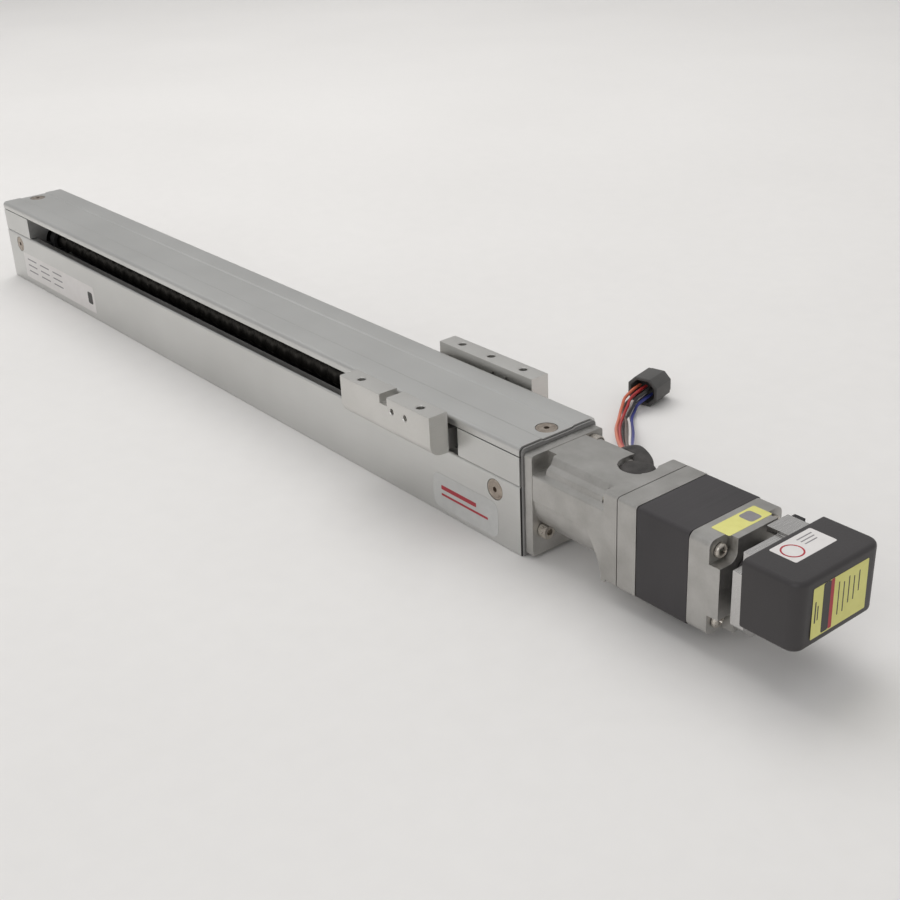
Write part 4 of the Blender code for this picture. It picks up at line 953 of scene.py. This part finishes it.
def make_stack():
    bm = prism(bmesh.new(), motor_square(0.0018, 0.0001), STACK_LOW.x, STACK_HIGH.x)
    made = new_object("stack_laminations", bm)
    bore = [(STACK_LOW.x - 0.0010, STATOR_BORE), (STACK_HIGH.x + 0.0010, STATOR_BORE)]
    cuts = turned(bmesh.new(), bore, (0, 0, AXIS_Z))
    carve(made, bolt_holes(cuts, STACK_LOW.x - 0.0010, STACK_HIGH.x + 0.0010, 0.0018))
    return finished(made, FINISH["black_lacquer"], BODY, ["stator_stack"], bevel=0.0002)


def make_bracket():
    bm = prism(bmesh.new(), motor_square(0.0032, 0.0, 8), BRACKET_LOW.x, BRACKET_HIGH.x)
    made = new_object("bracket_casting", bm)
    cuts = bmesh.new()
    step = BRACKET_LOW.x + 0.0095
    bore = [(BRACKET_LOW.x - 0.0010, STATOR_BORE), (step, STATOR_BORE), (step, 0.0083),
            (BRACKET_HIGH.x + 0.0010, 0.0083)]
    turned(cuts, bore, (0, 0, AXIS_Z))
    carve(made, bolt_holes(cuts, BRACKET_LOW.x - 0.0010, BRACKET_HIGH.x + 0.0010, 0.0018))
    for y in (-1, 1):
        for z in (-1, 1):
            carve(made, prism(bmesh.new(), corner_pocket(y, z), SCREW_SEAT, BRACKET_HIGH.x + 0.0010))
    return finished(made, FINISH["cast_aluminium"], BODY, ["rear_bracket"], bevel=0.0003)


def corner_pocket(side, rise):
    """The round-bottomed notch that holds one motor screw, open to its corner."""
    reach = 0.0042
    far = 0.0300
    points = [(-reach, far), (far, far), (far, -reach)]
    points += arc((0, 0), reach, 270, 180, 8)
    outline = []
    for a, b in points:
        y = MOTOR_BOLT + a if a < far else far
        z = MOTOR_BOLT + b if b < far else far
        outline.append((side * y, AXIS_Z + rise * z))
    return outline


def make_motor_screws():
    """Pan heads with a cross recess, in the rear bracket's corner notches."""
    number = 0
    for side in (-1, 1):
        for rise in (-1, 1):
            number += 1
            y, z = side * MOTOR_BOLT, AXIS_Z + rise * MOTOR_BOLT
            rim, head_r = 0.0009, 0.0031
            profile = [(STACK_LOW.x - SCREW_SEAT, 0.0015), (GAP, 0.0015), (GAP, 0.00305), (rim, head_r)]
            for a in range(15, 80, 9):
                lean = math.radians(a)
                profile.append((rim + 0.0015 * math.sin(lean), head_r * math.cos(lean) ** 0.7))
            bm = turned(bmesh.new(), profile, (SCREW_SEAT, y, z), "X", 40)
            made = new_object(f"pan_screw_{number}", bm)
            turn = Matrix.Rotation(math.radians(23 + 31 * number), 3, "X")
            for long_y, long_z in ((0.0017, 0.00036), (0.00036, 0.0017)):
                rings = []
                for depth, share in ((0.0009, 0.35), (0.0040, 1.35)):
                    ring = [(-long_y, -long_z), (long_y, -long_z), (long_y, long_z), (-long_y, long_z)]
                    rings.append([Vector((SCREW_SEAT, y, z)) + turn @ Vector((depth, a * share, b * share))
                                  for a, b in ring])
                carve(made, loft(bmesh.new(), rings))
            finished(made, FINISH["plated_screw"], BODY, [f"motor_screw_{number}"], angle=35)


def make_ball_screw():
    """A ground shaft with one rounded, right-handed groove between its two journals."""
    low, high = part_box("ball_screw")
    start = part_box("support_bearing_inner")[1].x + GAP
    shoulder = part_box("fixed_bearing_inner")[0].x - GAP
    sides, steps = 32, round((shoulder - start) / SCREW_LEAD * 18)

    def ring(x, radius, groove):
        points = []
        for i in range(sides):
            phase = (i / sides - x / SCREW_LEAD) % 1
            reach = radius - groove * smoothstep(1.6 - 5.0 * abs(phase - 0.5))
            angle = 2 * math.pi * i / sides
            points.append((x, reach * math.cos(angle), AXIS_Z + reach * math.sin(angle)))
        return points

    journal_end = END_X - 0.0045
    rings = [ring(low.x, 0.0036, 0), ring(low.x + 0.0004, STUB_R, 0), ring(start, STUB_R, 0)]
    for i in range(steps + 1):
        rings.append(ring(start + (shoulder - start) * i / steps, SCREW_CREST, GROOVE_DEPTH))
    rings += [ring(shoulder, JOURNAL_R, 0), ring(journal_end, JOURNAL_R, 0), ring(journal_end, STUB_R, 0),
              ring(high.x, STUB_R, 0)]
    made = new_object("ball_screw_shaft", loft(bmesh.new(), rings))
    # The shaft's steel is darkened as painted shade.
    return finished(made, FINISH["shade_darkened_steel"], SCREW, ["ball_screw"], angle=35)


# Encoder

def cap_outline(inset):
    x0, x1, half = CAP_LOW.x, CAP_HIGH.x - inset, CAP_HIGH.y - inset
    corner = max(0.0055 - inset, 0.0015)
    return rounded([(x0, -half, 0.0), (x1, -half, corner), (x1, half, corner), (x0, half, 0.0)], 8)


def make_encoder_cap():
    edge = 0.0020
    rings = []
    for a in range(0, 91, 15):
        inset = edge * (1 - math.sin(math.radians(a))) + 0.0004
        z = CAP_LOW.z + edge * (1 - math.cos(math.radians(a)))
        rings.append([(x, y, z) for x, y in cap_outline(inset)])
    for a in range(0, 91, 15):
        inset = edge * (1 - math.cos(math.radians(a)))
        z = CAP_HIGH.z - edge * (1 - math.sin(math.radians(a)))
        rings.append([(x, y, z) for x, y in cap_outline(inset)])
    made = new_object("encoder_cap", loft(bmesh.new(), rings))
    low = (CAP_LOW.x - 0.0010, -CAP_HIGH.y + 0.0030, CAP_LOW.z + 0.0030)
    carve(made, block(bmesh.new(), low, (CAP_HIGH.x - 0.0032, CAP_HIGH.y - 0.0030, CAP_HIGH.z - 0.0030)))
    return finished(made, FINISH["black_plastic"], BODY, ["encoder_cover"], angle=35)


# Labels: thin films with plain printed patches, and no lettering

def film(name, corner, along, down, size, finish_name, patches=(), radius=0.0008, lift=0.00006):
    """A film of one size (along, down) from its corner, with patches (u, v, wide, tall, finish)."""
    along, down = Vector(along), Vector(down)
    outward = down.cross(along).normalized()
    finishes = [FINISH[finish_name]]
    bm = bmesh.new()

    def sheet(u, v, wide, tall, low, high, index, corner_r):
        outline = rounded([(u, v, corner_r), (u + wide, v, corner_r), (u + wide, v + tall, corner_r),
                           (u, v + tall, corner_r)], 3)
        rings = [[Vector(corner) + along * a + down * b + outward * height for a, b in outline]
                 for height in (low, high)]
        before = len(bm.faces)
        loft(bm, rings)
        bm.faces.ensure_lookup_table()
        for face in bm.faces[before:]:
            face.material_index = index

    sheet(0, 0, size[0], size[1], 0.00001, lift, 0, radius)
    for u, v, wide, tall, patch_finish in patches:
        found = FINISH[patch_finish]
        if found not in finishes:
            finishes.append(found)
        sheet(u, v, wide, tall, lift + 0.00001, lift + 0.00003, finishes.index(found), min(wide, tall) * 0.2)
    made = new_object(name, bm)
    kept = [p.material_index for p in made.data.polygons]
    finished(made, finishes, BODY)
    made.data.polygons.foreach_set("material_index", kept)
    return made


def ring_print(name, centre, across, up, radius, width, finish_name, height):
    """A flat printed ring."""
    across, up = Vector(across), Vector(up)
    outward = across.cross(up).normalized()
    rows = []
    steps = 48
    for reach, lift in ((radius, 0.0), (radius, height), (radius - width, height), (radius - width, 0.0)):
        rows.append([Vector(centre) + (across * math.cos(2 * math.pi * i / steps)
                                       + up * math.sin(2 * math.pi * i / steps)) * reach + outward * lift
                     for i in range(steps)])
    bm = loft(bmesh.new(), rows + rows[:1], caps=False)
    bmesh.ops.remove_doubles(bm, verts=bm.verts, dist=0.000001)
    return finished(new_object(name, bm), FINISH[finish_name], BODY)


def make_labels():
    bars = [(0.0130, 0.0022 + 0.0019 * i, 0.0086 - 0.0008 * i, 0.0006, "print_grey") for i in range(3)]
    film("cap_label", (CAP_HIGH.x - 0.0238, -0.0120, CAP_HIGH.z), (0, 1, 0), (1, 0, 0), (0.0240, 0.0125),
         "label_white", bars)
    ring_print("cap_label_ring", (CAP_HIGH.x - 0.0175, -0.0062, CAP_HIGH.z + 0.00007), (1, 0, 0), (0, 1, 0),
               0.0046, 0.0007, "print_red", 0.00003)
    film("bracket_label", (BRACKET_LOW.x + 0.0030, -0.0125, BRACKET_HIGH.z), (0, 1, 0), (1, 0, 0),
         (0.0250, 0.0092), "label_yellow", [(0.0140, 0.0012, 0.0068, 0.0068, "print_grey")])
    print_rows = [
        (0.0014, 0.0060, 0.0007, 0.0090, "print_black"), (0.0029, 0.0082, 0.0006, 0.0060, "print_black"),
        (0.0058, 0.0, 0.0042, 0.0210, "print_black"), (0.0100, 0.0, 0.0020, 0.0210, "print_red"),
    ]
    for i in range(5):
        left, top = 0.0146 + 0.0030 * i, 0.0030 + 0.0011 * (i % 2)
        print_rows.append((left, top, 0.0006, 0.0140 - 0.0013 * i, "print_black"))
    film("end_label", (CAP_HIGH.x, -0.0160, CAP_HIGH.z - 0.0042), (0, 1, 0), (0, 0, -1), (0.0320, 0.0215),
         "label_yellow", print_rows, 0.0005)
    bars = [(0.0060, 0.0058, 0.0250, 0.0022, "print_red"), (0.0060, 0.0100, 0.0330, 0.0012, "print_red")]
    film("side_sticker", (END_X - 0.0610, -HALF_WIDTH, 0.0208), (1, 0, 0), (0, 0, -1), (0.0460, 0.0184),
         "label_grey", bars, 0.0045)
    rows = [(0.0060 + 0.0200 * (i % 3), 0.0035 + 0.0042 * (i // 3), 0.0140, 0.0009, "print_grey")
            for i in range(9)]
    film("rating_label", (FAR_X + 0.0210, -HALF_WIDTH, 0.0222), (1, 0, 0), (0, 0, -1), (0.1080, 0.0178),
         "label_white", rows + [(0.0985, 0.0045, 0.0065, 0.0080, "print_black")])


# Carried-over solids keep their shape and take their slot's finish

def weld_and_soften(name, width):
    node = frame["nodes"][name]
    weld = node.modifiers.new("weld", "WELD")
    weld.merge_threshold = 0.000005
    soften(node, width, 30, 2)


def paint_carried_nodes():
    slots = {row["node"]: row["material_slot"] for row in frame["record"]["subparts"]}
    for name, node in frame["nodes"].items():
        node.material_slots[0].material = FINISH[slots[name]]
    frame["nodes"]["end_gasket"].material_slots[0].material = FINISH["gasket_grey"]
    for name in ("motor_end_block", "far_end_block", "encoder_bracket", "encoder_spacer"):
        weld_and_soften(name, 0.0002)


def main():
    make_camera()
    make_floor()
    make_lights()
    paint_carried_nodes()
    sleeve = make_sleeve()
    connector = make_connector()
    make_wires()
    make_notch_bushing()
    make_base()
    make_cover()
    make_flush_screws()
    make_table_block("table_front", -1, "table_block_front")
    make_table_block("table_rear", 1, "table_block_rear")
    make_arm_screws()
    make_housing()
    make_housing_screws()
    make_motor_flange()
    make_stack()
    make_bracket()
    make_motor_screws()
    make_ball_screw()
    make_encoder_cap()
    make_labels()


main()
